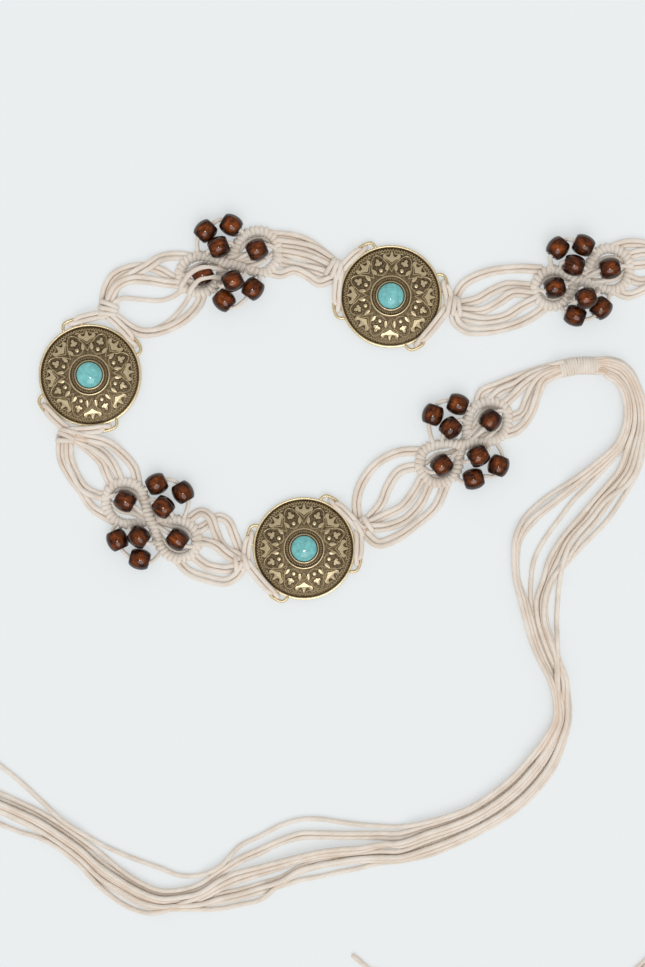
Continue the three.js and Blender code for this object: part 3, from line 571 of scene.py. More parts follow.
class StageSettings(bpy.types.PropertyGroup):
    floor: colour("Floor", "Colour of the pale floor", (234, 238, 239))
    lens: number("Lens", "Focal length of the camera in millimetres", 90.0)
    key: number("Key light", "Strength of the soft light from the photograph's lower side", 0.88)
    fill: number("Fill light", "Strength of the even light from all around", 0.67)
    mirrored: number("Room in gloss", "Share of the even light that shows in polished surfaces", 0.3)
    spark: number("Small light", "Strength of the small light that shows as a bright dot in gloss", 0.3)
    glow: number("Floor glow", "Share of the floor's brightness that comes through it from below", 0.52)


class Shell:
    """Corners, faces, lengthwise coordinates and marks of one piece while it is built: painted crease shade,
    wear, or painted top light.
    """

    def __init__(self):
        self.corners = []
        self.faces = []
        self.uvs = []
        self.marks = []
        self.count = 0

    def add(self, corners, faces, uvs, marks=None):
        """Adds a body. uvs has one pair for each corner of each face, in order."""
        self.corners.append(np.asarray(corners, float))
        self.faces.extend([[index + self.count for index in face] for face in faces])
        self.uvs.append(np.asarray(uvs, float))
        self.marks.append(np.zeros(len(corners)) if marks is None else np.asarray(marks, float))
        self.count += len(corners)

    def add_mesh(self, mesh, mark="crease"):
        """Adds a mesh that Geometry Nodes made."""
        corners = np.empty(len(mesh.vertices) * 3)
        mesh.vertices.foreach_get("co", corners)
        uvs = np.zeros(len(mesh.loops) * 2)
        if mesh.uv_layers:
            mesh.uv_layers[0].data.foreach_get("uv", uvs)
        marks = None
        if mark in mesh.attributes:
            marks = np.empty(len(mesh.vertices))
            mesh.attributes[mark].data.foreach_get("value", marks)
        faces = [list(polygon.vertices) for polygon in mesh.polygons]
        self.add(corners.reshape(-1, 3), faces, uvs.reshape(-1, 2), marks)

    def mesh(self, name, mark):
        """The bodies as a plain mesh that keeps their marks."""
        mesh = bpy.data.meshes.new(name)
        mesh.from_pydata(np.concatenate(self.corners).tolist(), [], self.faces)
        attribute = mesh.attributes.new(mark, "FLOAT", "POINT")
        attribute.data.foreach_set("value", np.concatenate(self.marks).astype(np.float32))
        return mesh

    def object(self, name, material, mark="crease"):
        """The finished object, shaded smooth, at the origin."""
        mesh = self.mesh(name, mark)
        layer = mesh.uv_layers.new(name="UVMap")
        layer.data.foreach_set("uv", np.concatenate(self.uvs).ravel())
        mesh.shade_smooth()
        mesh.materials.append(material)
        mesh.update()
        return put(name, mesh)


def put(name, mesh):
    """An object that shows a mesh."""
    thing = bpy.data.objects.new(name, mesh)
    bpy.context.scene.collection.objects.link(thing)
    return thing


def smooth_path(points, step):
    """Evenly spaced points on a centripetal Catmull-Rom curve through the given ones."""
    points = np.asarray(points, float)
    first = 2 * points[0] - points[1]
    last = 2 * points[-1] - points[-2]
    knots = np.vstack([first, points, last])
    dense = []
    for a, b, c, d in zip(knots[:-3], knots[1:-2], knots[2:-1], knots[3:]):
        t1 = math.sqrt(max(np.linalg.norm(b - a), 1e-9))
        t2 = t1 + math.sqrt(max(np.linalg.norm(c - b), 1e-9))
        t3 = t2 + math.sqrt(max(np.linalg.norm(d - c), 1e-9))
        t = np.linspace(t1, t2, CURVE_POINTS, endpoint=False)[:, None]
        ab = a * (t1 - t) / t1 + b * t / t1
        bc = b * (t2 - t) / (t2 - t1) + c * (t - t1) / (t2 - t1)
        cd = c * (t3 - t) / (t3 - t2) + d * (t - t2) / (t3 - t2)
        abc = ab * (t2 - t) / t2 + bc * t / t2
        bcd = bc * (t3 - t) / (t3 - t1) + cd * (t - t1) / (t3 - t1)
        dense.append(abc * (t2 - t) / (t2 - t1) + bcd * (t - t1) / (t2 - t1))
    dense = np.vstack(dense + [points[-1:]])
    return respaced(dense, step)


def respaced(path, step):
    """The same line with its points a step apart."""
    run = np.concatenate([[0], np.cumsum(np.linalg.norm(np.diff(path, axis=0), axis=1))])
    count = max(2, int(round(run[-1] / step)) + 1)
    even = np.linspace(0, run[-1], count)
    return np.column_stack([np.interp(even, run, path[:, k]) for k in range(path.shape[1])])


def length_of(path):
    """Length along a path."""
    return float(np.linalg.norm(np.diff(path, axis=0), axis=1).sum())


def smoothed(values, reach):
    """A running mean that keeps the ends in place."""
    padded = np.pad(values, reach, mode="edge")
    kernel = np.hanning(2 * reach + 3)[1:-1]
    return np.convolve(padded, kernel / kernel.sum(), mode="valid")


def wander(count, reach, size, rng):
    """A slow sideways drift that is zero at both ends."""
    marks = max(4, count // reach)
    drift = np.interp(np.linspace(0, 1, count), np.linspace(0, 1, marks), rng.uniform(-size, size, marks))
    return smoothed(drift, max(1, reach // 2)) * np.sin(np.linspace(0, math.pi, count)) ** 0.5


def sideways(path):
    """The level direction across a path, to the left of its run, at each point."""
    tangent = np.gradient(path[:, :2], axis=0)
    tangent /= np.linalg.norm(tangent, axis=1)[:, None] + 1e-12
    return np.column_stack([-tangent[:, 1], tangent[:, 0]])


def settle(paths, diameter):
    """Lays each cord in turn on the floor and on those laid before it, no lower than the path's own height.

    Where many cords lie over each other they press together."""
    radius = diameter / 2
    pressed = PILE_HEIGHT * MM
    laid = []
    for path in paths:
        height = np.full(len(path), radius)
        if laid:
            tree = KDTree(len(laid))
            for index, (x, y, _) in enumerate(laid):
                tree.insert((x, y, 0), index)
            tree.balance()
            for i, (x, y, _) in enumerate(path):
                for _, index, away in tree.find_range((x, y, 0), diameter * LIES_OVER):
                    rise = math.sqrt(max(diameter ** 2 - away ** 2, 0)) * PRESSED
                    height[i] = max(height[i], laid[index][2] + rise)
            widened = np.array([height[max(0, i - 2):i + 3].max() for i in range(len(height))])
            height = np.maximum(smoothed(widened, 3), height * LIES_OVER)
            height = smoothed(height, 2)
        laid.extend(np.column_stack([path[:, :2], height]).tolist())
        pile = pressed * np.tanh((height - radius) / pressed)
        path[:, 2] = np.maximum(path[:, 2], radius + pile)
    return paths


def walls(sides, heights, first=0, offset=0.0, closed=False):
    """Faces and UVs between neighbouring rings of corners, from the lengthwise coordinates of the rings.

    The first ring starts at corner number first. A closed body also has faces from its last ring back to
    the first."""
    faces = []
    uvs = []
    rings = len(heights) - closed
    for j, (v0, v1) in enumerate(zip(heights[:-1], heights[1:])):
        low, high = first + j * sides, first + (j + 1) % rings * sides
        for i in range(sides):
            after = (i + 1) % sides
            faces.append([low + i, low + after, high + after, high + i])
            u0, u1 = offset + i / sides, offset + (i + 1) / sides
            uvs.extend([(u0, v0), (u1, v0), (u1, v1), (u0, v1)])
    return faces, uvs


def tube(path, radius, sides, twist_start=0.0):
    """Corners, faces and UVs of a round cord along a path, with domed ends."""
    path = np.asarray(path, float)
    tangent = np.gradient(path, axis=0)
    tangent /= np.linalg.norm(tangent, axis=1)[:, None] + 1e-12
    normal = np.empty_like(tangent)
    up = np.array([0.0, 0.0, 1.0]) if abs(tangent[0][2]) < 0.9 else np.array([1.0, 0.0, 0.0])
    normal[0] = up - tangent[0] * up.dot(tangent[0])
    normal[0] /= np.linalg.norm(normal[0])
    for i in range(1, len(path)):
        side = normal[i - 1] - tangent[i] * normal[i - 1].dot(tangent[i])
        normal[i] = side / (np.linalg.norm(side) + 1e-12)
    other = np.cross(tangent, normal)
    centres = np.array([*(path[0] - tangent[0] * radius * out for out, _ in END_DOME[::-1]), *path,
                        *(path[-1] + tangent[-1] * radius * out for out, _ in END_DOME)])
    wide = [share for _, share in END_DOME]
    sizes = radius * np.array([*wide[::-1], *[1.0] * len(path), *wide])
    ends = ((len(END_DOME), len(END_DOME)), (0, 0))
    normals, others = (np.pad(side, ends, mode="edge") for side in (normal, other))
    angle = np.arange(sides) * 2 * math.pi / sides
    ring = (np.cos(angle)[None, :, None] * normals[:, None, :]
            + np.sin(angle)[None, :, None] * others[:, None, :])
    corners = (centres[:, None, :] + ring * sizes[:, None, None]).reshape(-1, 3)
    run = np.concatenate([[0], np.cumsum(np.linalg.norm(np.diff(centres, axis=0), axis=1))])
    run = twist_start + run / (2 * math.pi * radius)
    faces, uvs = walls(sides, run)
    last = (len(centres) - 1) * sides
    faces.append(list(range(sides))[::-1])
    faces.append([last + i for i in range(sides)])
    uvs.extend([(0.5, run[0])] * sides + [(0.5, run[-1])] * sides)
    return corners, faces, uvs


def painted_crease_shades(corner_sets, paths, diameter):
    """How close each corner of each cord lies to a neighbouring cord, from 0 to 1: the share of painted
    crease shade that it gets.
    """
    points = [(index, point) for index, path in enumerate(paths) for point in path]
    tree = KDTree(len(points))
    for number, (_, point) in enumerate(points):
        tree.insert(point, number)
    tree.balance()
    radius = diameter / 2
    marks = []
    for index, corners in enumerate(corner_sets):
        mark = np.zeros(len(corners))
        for i, corner in enumerate(corners):
            for _, number, away in tree.find_range(corner, radius * CREASE_SHADE_REACH):
                if points[number][0] != index:
                    mark[i] = max(mark[i], min(1.0, (radius * CREASE_SHADE_REACH - away) / (radius * CREASE_SHADE_FADE)))
        marks.append(mark)
    return marks


def cord_bodies(paths, diameter, twist):
    """Cords as tubes, marked for painted crease shade where they touch. Twist is the turn of the marks from
    one cord to the next.
    """
    bodies = [tube(path, diameter / 2, CORD_SIDES, index * twist) for index, path in enumerate(paths)]
    marks = painted_crease_shades([body[0] for body in bodies], paths, diameter)
    return [(*body, mark) for body, mark in zip(bodies, marks)]


def on_line(points):
    """A mesh of one open line, for a Geometry Nodes modifier to follow."""
    mesh = bpy.data.meshes.new("line")
    mesh.from_pydata([tuple(point) for point in points], [(i, i + 1) for i in range(len(points) - 1)], [])
    return mesh


def node_maker(tree):
    """A function that adds a node to a tree. Inputs are values, or sockets that are linked."""
    def step(kind, inputs=(), **settings):
        made = tree.nodes.new(kind)
        for key, value in settings.items():
            setattr(made, key, value)
        for key, value in dict(inputs).items():
            if isinstance(value, bpy.types.NodeSocket):
                tree.links.new(value, made.inputs[key])
            else:
                made.inputs[key].default_value = value
        return made
    return step


def maths(step, operation, *values):
    """A sum of sockets and numbers."""
    return step("ShaderNodeMath", dict(enumerate(values)), operation=operation).outputs[0]


def new_tree(name, inputs):
    """A Geometry Nodes tree with named inputs of the given kinds and defaults, and its maker of nodes."""
    tree = bpy.data.node_groups.new(name, "GeometryNodeTree")
    for label, kind, default in inputs:
        socket = tree.interface.new_socket(name=label, in_out="INPUT", socket_type=f"NodeSocket{kind}")
        if default is not None:
            socket.default_value = default
    tree.interface.new_socket(name="Geometry", in_out="OUTPUT", socket_type="NodeSocketGeometry")
    return tree, node_maker(tree)


def instances_out(step, points, shape, rotation, material):
    """The last steps of a tree: a copy of a shape at each point, made real and given its material."""
    copies = step("GeometryNodeInstanceOnPoints", {"Points": points, "Instance": shape, "Rotation": rotation})
    real = step("GeometryNodeRealizeInstances", {0: copies.outputs[0]})
    finish = step("GeometryNodeSetMaterial", {"Geometry": real.outputs[0], "Material": material})
    step("NodeGroupOutput", {0: finish.outputs[0]})


def turns_tree():
    """Node tree: cord wound round a line in closed turns, as in a row of hitches or a whipping."""
    tree, step = new_tree("Turns of cord", (
        ("Line", "Geometry", None), ("Width", "Float", 4.8 * MM), ("Height", "Float", 3.8 * MM),
        ("Cord", "Float", 2.2 * MM), ("Pitch", "Float", 2.05 * MM), ("Tilt", "Float", 0.2),
        ("Looseness", "Float", 0.08), ("Seed", "Int", SEED), ("Material", "Material", None)))
    given = step("NodeGroupInput").outputs

    def reach(side):
        return maths(step, "SUBTRACT", maths(step, "MULTIPLY", given[side], 0.5), cord_radius)

    curve = step("GeometryNodeMeshToCurve", {0: given["Line"]})
    spaced = step("GeometryNodeResampleCurve", {"Curve": curve.outputs[0], "Length": given["Pitch"]},
                  mode="LENGTH")
    cord_radius = maths(step, "MULTIPLY", given["Cord"], 0.5)
    circle = step("GeometryNodeCurvePrimitiveCircle", {"Resolution": TURN_POINTS, "Radius": 1.0})
    shape = step("ShaderNodeCombineXYZ", {"X": reach("Height"), "Y": reach("Width"), "Z": 1.0})
    oval = step("GeometryNodeTransform", {"Geometry": circle.outputs["Curve"], "Scale": shape.outputs[0]})
    upright = step("GeometryNodeTransform", {"Geometry": oval.outputs[0], "Rotation": (0, math.pi / 2, 0)})
    profile = step("GeometryNodeCurvePrimitiveCircle", {"Resolution": TURN_SIDES, "Radius": cord_radius})
    turn = step("GeometryNodeCurveToMesh", {
        "Curve": upright.outputs[0], "Profile Curve": profile.outputs["Curve"]})
    tangent = step("GeometryNodeInputTangent").outputs[0]
    facing = step("FunctionNodeAlignRotationToVector", {"Vector": tangent}, axis="X", pivot_axis="Z")
    lean = step("FunctionNodeRandomValue", {
        2: maths(step, "SUBTRACT", given["Tilt"], given["Looseness"]),
        3: maths(step, "ADD", given["Tilt"], given["Looseness"]), "Seed": given["Seed"]}, data_type="FLOAT")
    lean_angles = step("ShaderNodeCombineXYZ", {"Z": lean.outputs[1]})
    lean_rotation = step("FunctionNodeEulerToRotation", {0: lean_angles.outputs[0]})
    turned = step("FunctionNodeRotateRotation", {
        "Rotation": facing.outputs[0], "Rotate By": lean_rotation.outputs[0]}, rotation_space="LOCAL")
    instances_out(step, spaced.outputs[0], turn.outputs[0], turned.outputs[0], given["Material"])
    return tree


def ring_tree():
    """Node tree: castings repeated round the middle of a concho."""
    tree, step = new_tree("Ring of castings", (
        ("Casting", "Geometry", None), ("Count", "Int", MOTIFS), ("Start", "Float", 0.0),
        ("Material", "Material", None)))
    given = step("NodeGroupInput").outputs
    points = step("GeometryNodePoints", {"Count": given["Count"]})
    index = step("GeometryNodeInputIndex").outputs[0]
    share = maths(step, "DIVIDE", index, given["Count"])
    angle = maths(step, "MULTIPLY_ADD", share, 2 * math.pi, given["Start"])
    turn = step("ShaderNodeCombineXYZ", {"Z": angle})
    rotation = step("FunctionNodeEulerToRotation", {0: turn.outputs[0]})
    instances_out(step, points.outputs[0], given["Casting"], rotation.outputs[0], given["Material"])
    return tree


def shared_tree(name, make):
    """The node tree of that name, made when it is first asked for."""
    return bpy.data.node_groups.get(name) or make()


def grown(mesh, tree, values):
    """The mesh that a node tree makes of a mesh, with its named inputs set. The helper object is removed."""
    helper = put("helper", mesh)
    modifier = helper.modifiers.new("Growth", "NODES")
    modifier.node_group = tree
    for item in tree.interface.items_tree:
        if item.item_type == "SOCKET" and item.in_out == "INPUT" and item.name in values:
            modifier[item.identifier] = values[item.name]
    seen = helper.evaluated_get(bpy.context.evaluated_depsgraph_get())
    result = bpy.data.meshes.new_from_object(seen)
    bpy.data.objects.remove(helper)
    bpy.data.meshes.remove(mesh)
    return result


def new_material(name, **values):
    """A material, its maker of nodes, and a function that links a socket to an input of its shader."""
    material = bpy.data.materials.new(name)
    material.use_nodes = True
    tree = material.node_tree
    shader = tree.nodes["Principled BSDF"]
    for key, value in values.items():
        shader.inputs[key.replace("_", " ")].default_value = value

    def give(key, socket):
        tree.links.new(socket, shader.inputs[key])

    return material, node_maker(tree), give


def noise(step, vector, scale, detail=3.0, roughness=0.5):
    """Cloudy values between 0 and 1."""
    return step("ShaderNodeTexNoise", {
        "Vector": vector, "Scale": scale, "Detail": detail, "Roughness": roughness}).outputs["Fac"]


def ramp(step, value, stops):
    """Colours that blend from stop to stop as a value grows."""
    band = step("ShaderNodeValToRGB", {0: value})
    elements = band.color_ramp.elements
    while len(elements) < len(stops):
        elements.new(0.5)
    for element, (where, tone) in zip(elements, stops):
        element.position = where
        element.color = (*tone, 1.0)
    return band.outputs[0]


def mixed(step, share, first, second, blend="MIX"):
    """Two colours mixed. Each is a socket or plain values."""
    first, second = (
        tone if isinstance(tone, bpy.types.NodeSocket) else (*tone, 1.0) for tone in (first, second))
    mix = step("ShaderNodeMix", {0: share, 6: first, 7: second}, data_type="RGBA", blend_type=blend)
    return mix.outputs[2]


def bumped(step, give, height, depth, strength):
    """Gives a shader a fine relief from a height."""
    bump = step("ShaderNodeBump", {"Height": height, "Distance": depth, "Strength": strength})
    give("Normal", bump.outputs[0])


def marked(step, name):
    """The marks of that name on a mesh."""
    return step("ShaderNodeAttribute", attribute_name=name).outputs["Fac"]


def times(share, tone):
    """A colour made darker or lighter."""
    return tuple(share * channel for channel in tone)


def cotton():
    """Matt twisted cotton: slanting strand marks that follow each cord, with painted shade in their grooves,
    soft fuzz and painted warm shade in the creases where cords touch.
    """
    found = bpy.data.materials.get("cotton cord")
    if found:
        return found
    look = bpy.context.scene.belt_cord
    material, step, give = new_material(
        "cotton cord", Roughness=0.92, Sheen_Weight=0.1, Sheen_Roughness=0.5, Specular_IOR_Level=0.1)
    places = step("ShaderNodeTexCoord").outputs
    along = step("ShaderNodeSeparateXYZ", {0: places["UV"]}).outputs
    slant = maths(step, "MULTIPLY", along[1], look.twist * math.pi)
    lay = maths(step, "MULTIPLY_ADD", along[0], STRANDS, slant)
    wave = maths(step, "SINE", maths(step, "MULTIPLY", lay, 2 * math.pi))
    ridge = maths(step, "MULTIPLY_ADD", wave, 0.5, 0.5)
    fuzz = noise(step, places["Object"], scale=2600, detail=4)
    cloudy = noise(step, places["Object"], scale=130)
    tone = ramp(step, cloudy, [(0.35, look.shade), (0.62, look.light)])
    # Painted shade in the grooves between the strand marks, in the warm crease tone
    groove_shaded = mixed(step, maths(step, "MULTIPLY", ridge, STRAND_GROOVE_SHADE), tone, look.crease)
    # Painted warm shade in the creases where cords touch
    crease = maths(step, "MULTIPLY", marked(step, "crease"), CREASE_SHADE_TINT)
    give("Base Color", mixed(step, crease, groove_shaded, look.crease))
    relief = maths(step, "MULTIPLY_ADD", ridge, STRAND_DEPTH, fuzz)
    bumped(step, give, relief, depth=0.13 * MM, strength=0.85)
    return material


def antique_brass():
    """Cast brass with a dark patina that is rubbed bright where the mesh is marked as worn."""
    look = bpy.context.scene.belt_concho
    material, step, give = new_material("aged cast brass", Metallic=0.6, Roughness=0.42)
    places = step("ShaderNodeTexCoord").outputs["Object"]
    worn = marked(step, "worn")
    grime = noise(step, places, scale=1500, detail=4, roughness=0.7)
    stain = noise(step, places, scale=1300, detail=5, roughness=0.65)
    rubbed = maths(step, "MULTIPLY_ADD", grime, BRASS_GRIME, maths(step, "SUBTRACT", worn, BRASS_LIMIT))
    rubbed = maths(step, "MINIMUM", maths(step, "MAXIMUM", rubbed, 0.0), 1.0)
    dark = ramp(step, stain, [(0.36, times(0.4, look.patina)), (0.62, times(1.7, look.patina))])
    soot = maths(step, "MINIMUM", maths(step, "MULTIPLY_ADD", worn, BRASS_SOOT, 1.0), 1.0)
    sooty = mixed(step, 1.0, dark, soot, "MULTIPLY")
    give("Base Color", mixed(step, rubbed, sooty, look.worn))
    give("Roughness", maths(step, "MULTIPLY_ADD", rubbed, BRASS_SMOOTHER, BRASS_ROUGHNESS))
    bumped(step, give, grime, depth=0.08 * MM, strength=0.6)
    return material


def turquoise():
    """Polished turquoise with mottled tone and faint matrix veins."""
    look = bpy.context.scene.belt_concho
    material, step, give = new_material(
        "polished turquoise", Roughness=0.45, Specular_IOR_Level=0.1, Coat_Weight=0.8, Coat_Roughness=0.05)
    places = step("ShaderNodeTexCoord").outputs["Object"]
    mottle = noise(step, places, scale=420, detail=5, roughness=0.6)
    tone = ramp(step, mottle, [
        (0.34, times(0.82, look.stone)), (0.52, look.stone),
        (0.7, tuple(min(1, 1.15 * channel + 0.03) for channel in look.stone))])
    drift = step("ShaderNodeTexNoise", {"Vector": places, "Scale": 300}).outputs["Color"]
    bent = step("ShaderNodeVectorMath", {0: drift, 1: (VEIN_BEND,) * 3, 2: places},
                operation="MULTIPLY_ADD").outputs[0]
    cells = step("ShaderNodeTexVoronoi", {"Vector": bent, "Scale": 130}, feature="DISTANCE_TO_EDGE")
    vein = ramp(step, cells.outputs["Distance"], [(0.0, (0.4, 0.4, 0.4)), (0.022, (0.0, 0.0, 0.0))])
    give("Base Color", mixed(step, vein, tone, rgb(96, 108, 92)))
    return material


def varnished_wood():
    """Dark varnished wood whose grain runs along the hole of each bead, with painted light on the top of each
    bead.
    """
    look = bpy.context.scene.belt_beads
    material, step, give = new_material(
        "varnished wood", Roughness=0.5, Specular_IOR_Level=0.04, Coat_Weight=1.0, Coat_Roughness=0.07,
        Coat_IOR=1.5, Coat_Tint=(*rgb(250, 236, 214), 1.0))
    places = step("ShaderNodeTexCoord").outputs
    stretched = step("ShaderNodeMapping", {"Vector": places["UV"], "Scale": (9.0, 1.3, 1.0)}).outputs[0]
    grain = noise(step, stretched, scale=3.0, detail=6, roughness=0.65)
    patches = noise(step, places["Object"], scale=300)
    both = maths(step, "MULTIPLY_ADD", patches, WOOD_PATCHES, maths(step, "MULTIPLY", grain, WOOD_GRAIN))
    darkened = maths(step, "SUBTRACT", both, WOOD_DARKER)
    # Painted light: the top of each bead is made lighter, as if lit from above
    glow = maths(step, "MULTIPLY_ADD", marked(step, "polish"), WOOD_TOP_LIGHT, darkened)
    between = tuple(0.7 * dark + 0.3 * warm for dark, warm in zip(look.dark, look.warm))
    give("Base Color", ramp(step, glow, [(0.4, look.dark), (0.56, between), (0.74, look.warm)]))
    bumped(step, give, grain, depth=0.01 * MM, strength=0.3)
    return material


def finished(thing, slot, *nodes):
    """Puts a piece on the belt's body, in the place of its CAD nodes."""
    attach(thing, BODY)
    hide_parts(*nodes)


class StageBuild(bpy.types.Operator):
    """Make the pale floor, the soft light and the camera straight above the belt"""
    bl_idname = "belt.stage"
    bl_label = "Stage"

    def execute(self, context):
        look = context.scene.belt_stage
        context.scene.view_settings.view_transform = "Standard"
        mesh = bpy.data.meshes.new("floor")
        corners = [(x * FLOOR_HALF, y * FLOOR_HALF, 0) for x, y in ((-1, -1), (1, -1), (1, 1), (-1, 1))]
        mesh.from_pydata(corners, [], [(0, 1, 2, 3)])
        material, _, _ = new_material(
            "pale floor", Roughness=0.9, Specular_IOR_Level=0.1,
            Base_Color=(*times(1 - look.glow, look.floor), 1.0),
            Emission_Color=(*look.floor, 1.0), Emission_Strength=look.glow)
        mesh.materials.append(material)
        put("floor", mesh)
        world = bpy.data.worlds.new("studio")
        world.use_nodes = True
        step = node_maker(world.node_tree)
        background = world.node_tree.nodes["Background"].inputs
        background["Color"].default_value = (1.0, 1.0, 1.0, 1.0)
        in_gloss = step("ShaderNodeLightPath").outputs["Is Glossy Ray"]
        less = maths(step, "MULTIPLY", in_gloss, look.fill * (look.mirrored - 1))
        world.node_tree.links.new(maths(step, "ADD", less, look.fill), background["Strength"])
        context.scene.world = world
        # Name, strength, width in degrees and the direction that the light comes from
        lights = (("key", look.key, 38, (0.08, -0.52, 0.85)),
                  ("small light", look.spark, 6, (0.0, -0.15, 0.99)))
        for name, strength, width, direction in lights:
            light = bpy.data.lights.new(name, "SUN")
            light.energy = strength
            light.angle = math.radians(width)
            lamp = bpy.data.objects.new(name, light)
            lamp.rotation_euler = Vector(direction).to_track_quat("Z", "Y").to_euler()
            context.scene.collection.objects.link(lamp)
        camera = bpy.data.cameras.new("camera")
        camera.lens = look.lens
        camera.sensor_width = 36.0
        camera.clip_start = 0.01
        camera.clip_end = 20.0
        eye = bpy.data.objects.new("camera", camera)
        away = PHOTO_HEIGHT * PIXEL * look.lens / camera.sensor_width
        eye.location = (*spot(*PHOTO_MIDDLE), SHARP_HEIGHT * MM + away)
        context.scene.collection.objects.link(eye)
        context.scene.camera = eye
        return {"FINISHED"}


def bundle_start(route, rank):
    """Two places of a cord where it leaves a wrapped knot: inside its end and just outside it."""
    end = np.array(route[-1], float)
    along = end - np.array(route[-2], float)
    along /= np.linalg.norm(along)
    across = np.array([-along[1], along[0], 0.0])
    side = (rank / (TAIL_CORDS - 1) - 0.5) * BUNDLE_WIDTH
    inside = end - along * BUNDLE_INSIDE + across * side
    outside = end + along * BUNDLE_OUTSIDE + across * side * BUNDLE_FAN
    return [tuple(inside * MM), tuple(outside * MM)]


def part_way(edges, rank):
    """A cord's place in a section of the bundle, between its two edges."""
    share = (rank + 0.5) / TAIL_CORDS
    first_x, first_y, last_x, last_y = edges
    return first_x + (last_x - first_x) * share, first_y + (last_y - first_y) * share


def lower_tail_routes():
    """The cords of the lower tail from the photograph's readings, in metres."""
    routes = []
    for cord, rank in enumerate(WRAP_RANK):
        pixels = [part_way(edges, rank) for edges in TAIL_BEND_PX]
        pixels += [(columns[cord], row) for row, columns in TAIL_DOWN_PX]
        pixels += [part_way(edges, cord) for edges in TAIL_TURN_PX]
        pixels += [(column, rows[cord]) for column, rows in TAIL_LEFT_PX]
        routes.append(bundle_start(WRAPS["lower"], rank) + [(*spot(*pixel), 0.0) for pixel in pixels])
    return routes


def upper_tail_routes():
    """The cords of the upper tail, spread over the width of its bundle, in metres."""
    rng = np.random.default_rng(SEED)
    middle = np.array([row[:2] for row in UPPER_TAIL])
    across = sideways(np.column_stack([middle, np.zeros(len(middle))]))
    end = len(UPPER_TAIL) - 1
    routes = []
    for cord in range(TAIL_CORDS):
        drift = wander(len(UPPER_TAIL), *UPPER_DRIFT, rng)
        points = bundle_start(WRAPS["upper"], cord)
        # Every third cord is cut one place short of the others
        last = end + 1 if cord == LONGEST_CORD else end - (cord % 3 == 0)
        for index, (x, y, wide) in enumerate(UPPER_TAIL[:last]):
            share = 0.0 if index == end else (cord + 0.5) / TAIL_CORDS - 0.5 + drift[index]
            offset = across[index] * share * (wide - CORD_MILLIMETRES)
            points.append(((x + offset[0]) * MM, (y + offset[1]) * MM, 0.0))
        routes.append(points)
    return routes


class TailsBuild(bpy.types.Operator):
    """Lay the twenty loose cords of the two tails"""
    bl_idname = "belt.tails"
    bl_label = "Tails"

    def execute(self, context):
        look = context.scene.belt_cord
        material = cotton()
        plans = (("lower", lower_tail_routes(), TAIL_LAYERS),
                 ("upper", upper_tail_routes(), range(TAIL_CORDS)))
        reach, drift_size = TAIL_DRIFT
        for name, routes, layers in plans:
            paths = []
            for cord in layers:
                path = smooth_path(routes[cord], TAIL_STEP * MM)
                fall = np.clip(1 - np.arange(len(path)) / TAIL_FALL, 0, 1)
                path[:, 2] = WRAPS[name][-1][2] * MM * fall ** TAIL_STEEPNESS
                drift = wander(len(path), reach, drift_size * MM, np.random.default_rng(SEED + cord))
                path[:, :2] += sideways(path) * drift[:, None]
                paths.append(path)
            settle(paths, look.diameter)
            for cord, path, body in zip(layers, paths, cord_bodies(paths, look.diameter, TAIL_TWIST)):
                shell = Shell()
                shell.add(*body)
                thing = shell.object(f"tail_{name}_cord_{cord + 1}", material)
                finished(thing, "cotton_cord", f"tail_{name}")
                tuple(path[0])
                length_of(path)
        return {"FINISHED"}


def row_point(place, height=ROW_HEIGHT):
    """A pixel of the photograph as a place at a height in millimetres."""
    return np.array([*spot(*place), height * MM])


def hitch_lines(stretch):
    """The lines of the rows of hitches, each along one side of both loops and through the crossing."""
    left, right = ([row_point(place) for place in stretch[key]] for key in ("left_px", "right_px"))
    left_tip, right_tip = stretch["tips"]
    crossing = (left[0] + right[0]) / 2
    over = [*left[left_tip:0:-1], crossing, *right[:right_tip - 1:-1]]
    under = [*left[left_tip:], crossing, *right[1:right_tip + 1]]
    lines = [smooth_path(np.array(line), ROW_STEP * MM) for line in (over, under)]
    away = np.linalg.norm(lines[0][:, :2] - crossing[:2], axis=1)
    lines[0][:, 2] += CROSSING_RISE * MM * np.exp(-(away / (CROSSING_REACH * MM)) ** 2)
    return lines


def span_paths(stretch, look):
    """The bare cords of a stretch, laid side by side along the route of each group."""
    rng = np.random.default_rng(SEED)
    reach, drift_size = SPAN_DRIFT
    paths = []
    for count, route in stretch["cords"]:
        points = np.array([(*point, 0.0) if len(point) == 2 else point for point in route]) * MM
        if len(route[-1]) == 3:
            inward = points[-1] - points[-2]
            points = np.vstack([points, points[-1] + inward * (SPAN_TUCK * MM / np.linalg.norm(inward))])
        middle = smooth_path(points, SPAN_STEP * MM)
        across = sideways(middle)
        for index in range(count):
            shift = (index - (count - 1) / 2) * look.diameter * SPAN_BESIDE
            path = middle.copy()
            drift = wander(len(path), reach, drift_size * MM, rng) + shift
            path[:, :2] += across * drift[:, None]
            paths.append(path)
    return settle(paths, look.diameter)


def knot_spot(concho, at):
    """Angle and distance of a knot from the middle of its concho."""
    x, y, _ = CONCHOS[concho]
    return math.atan2(at[1] - y, at[0] - x), math.hypot(at[0] - x, at[1] - y)


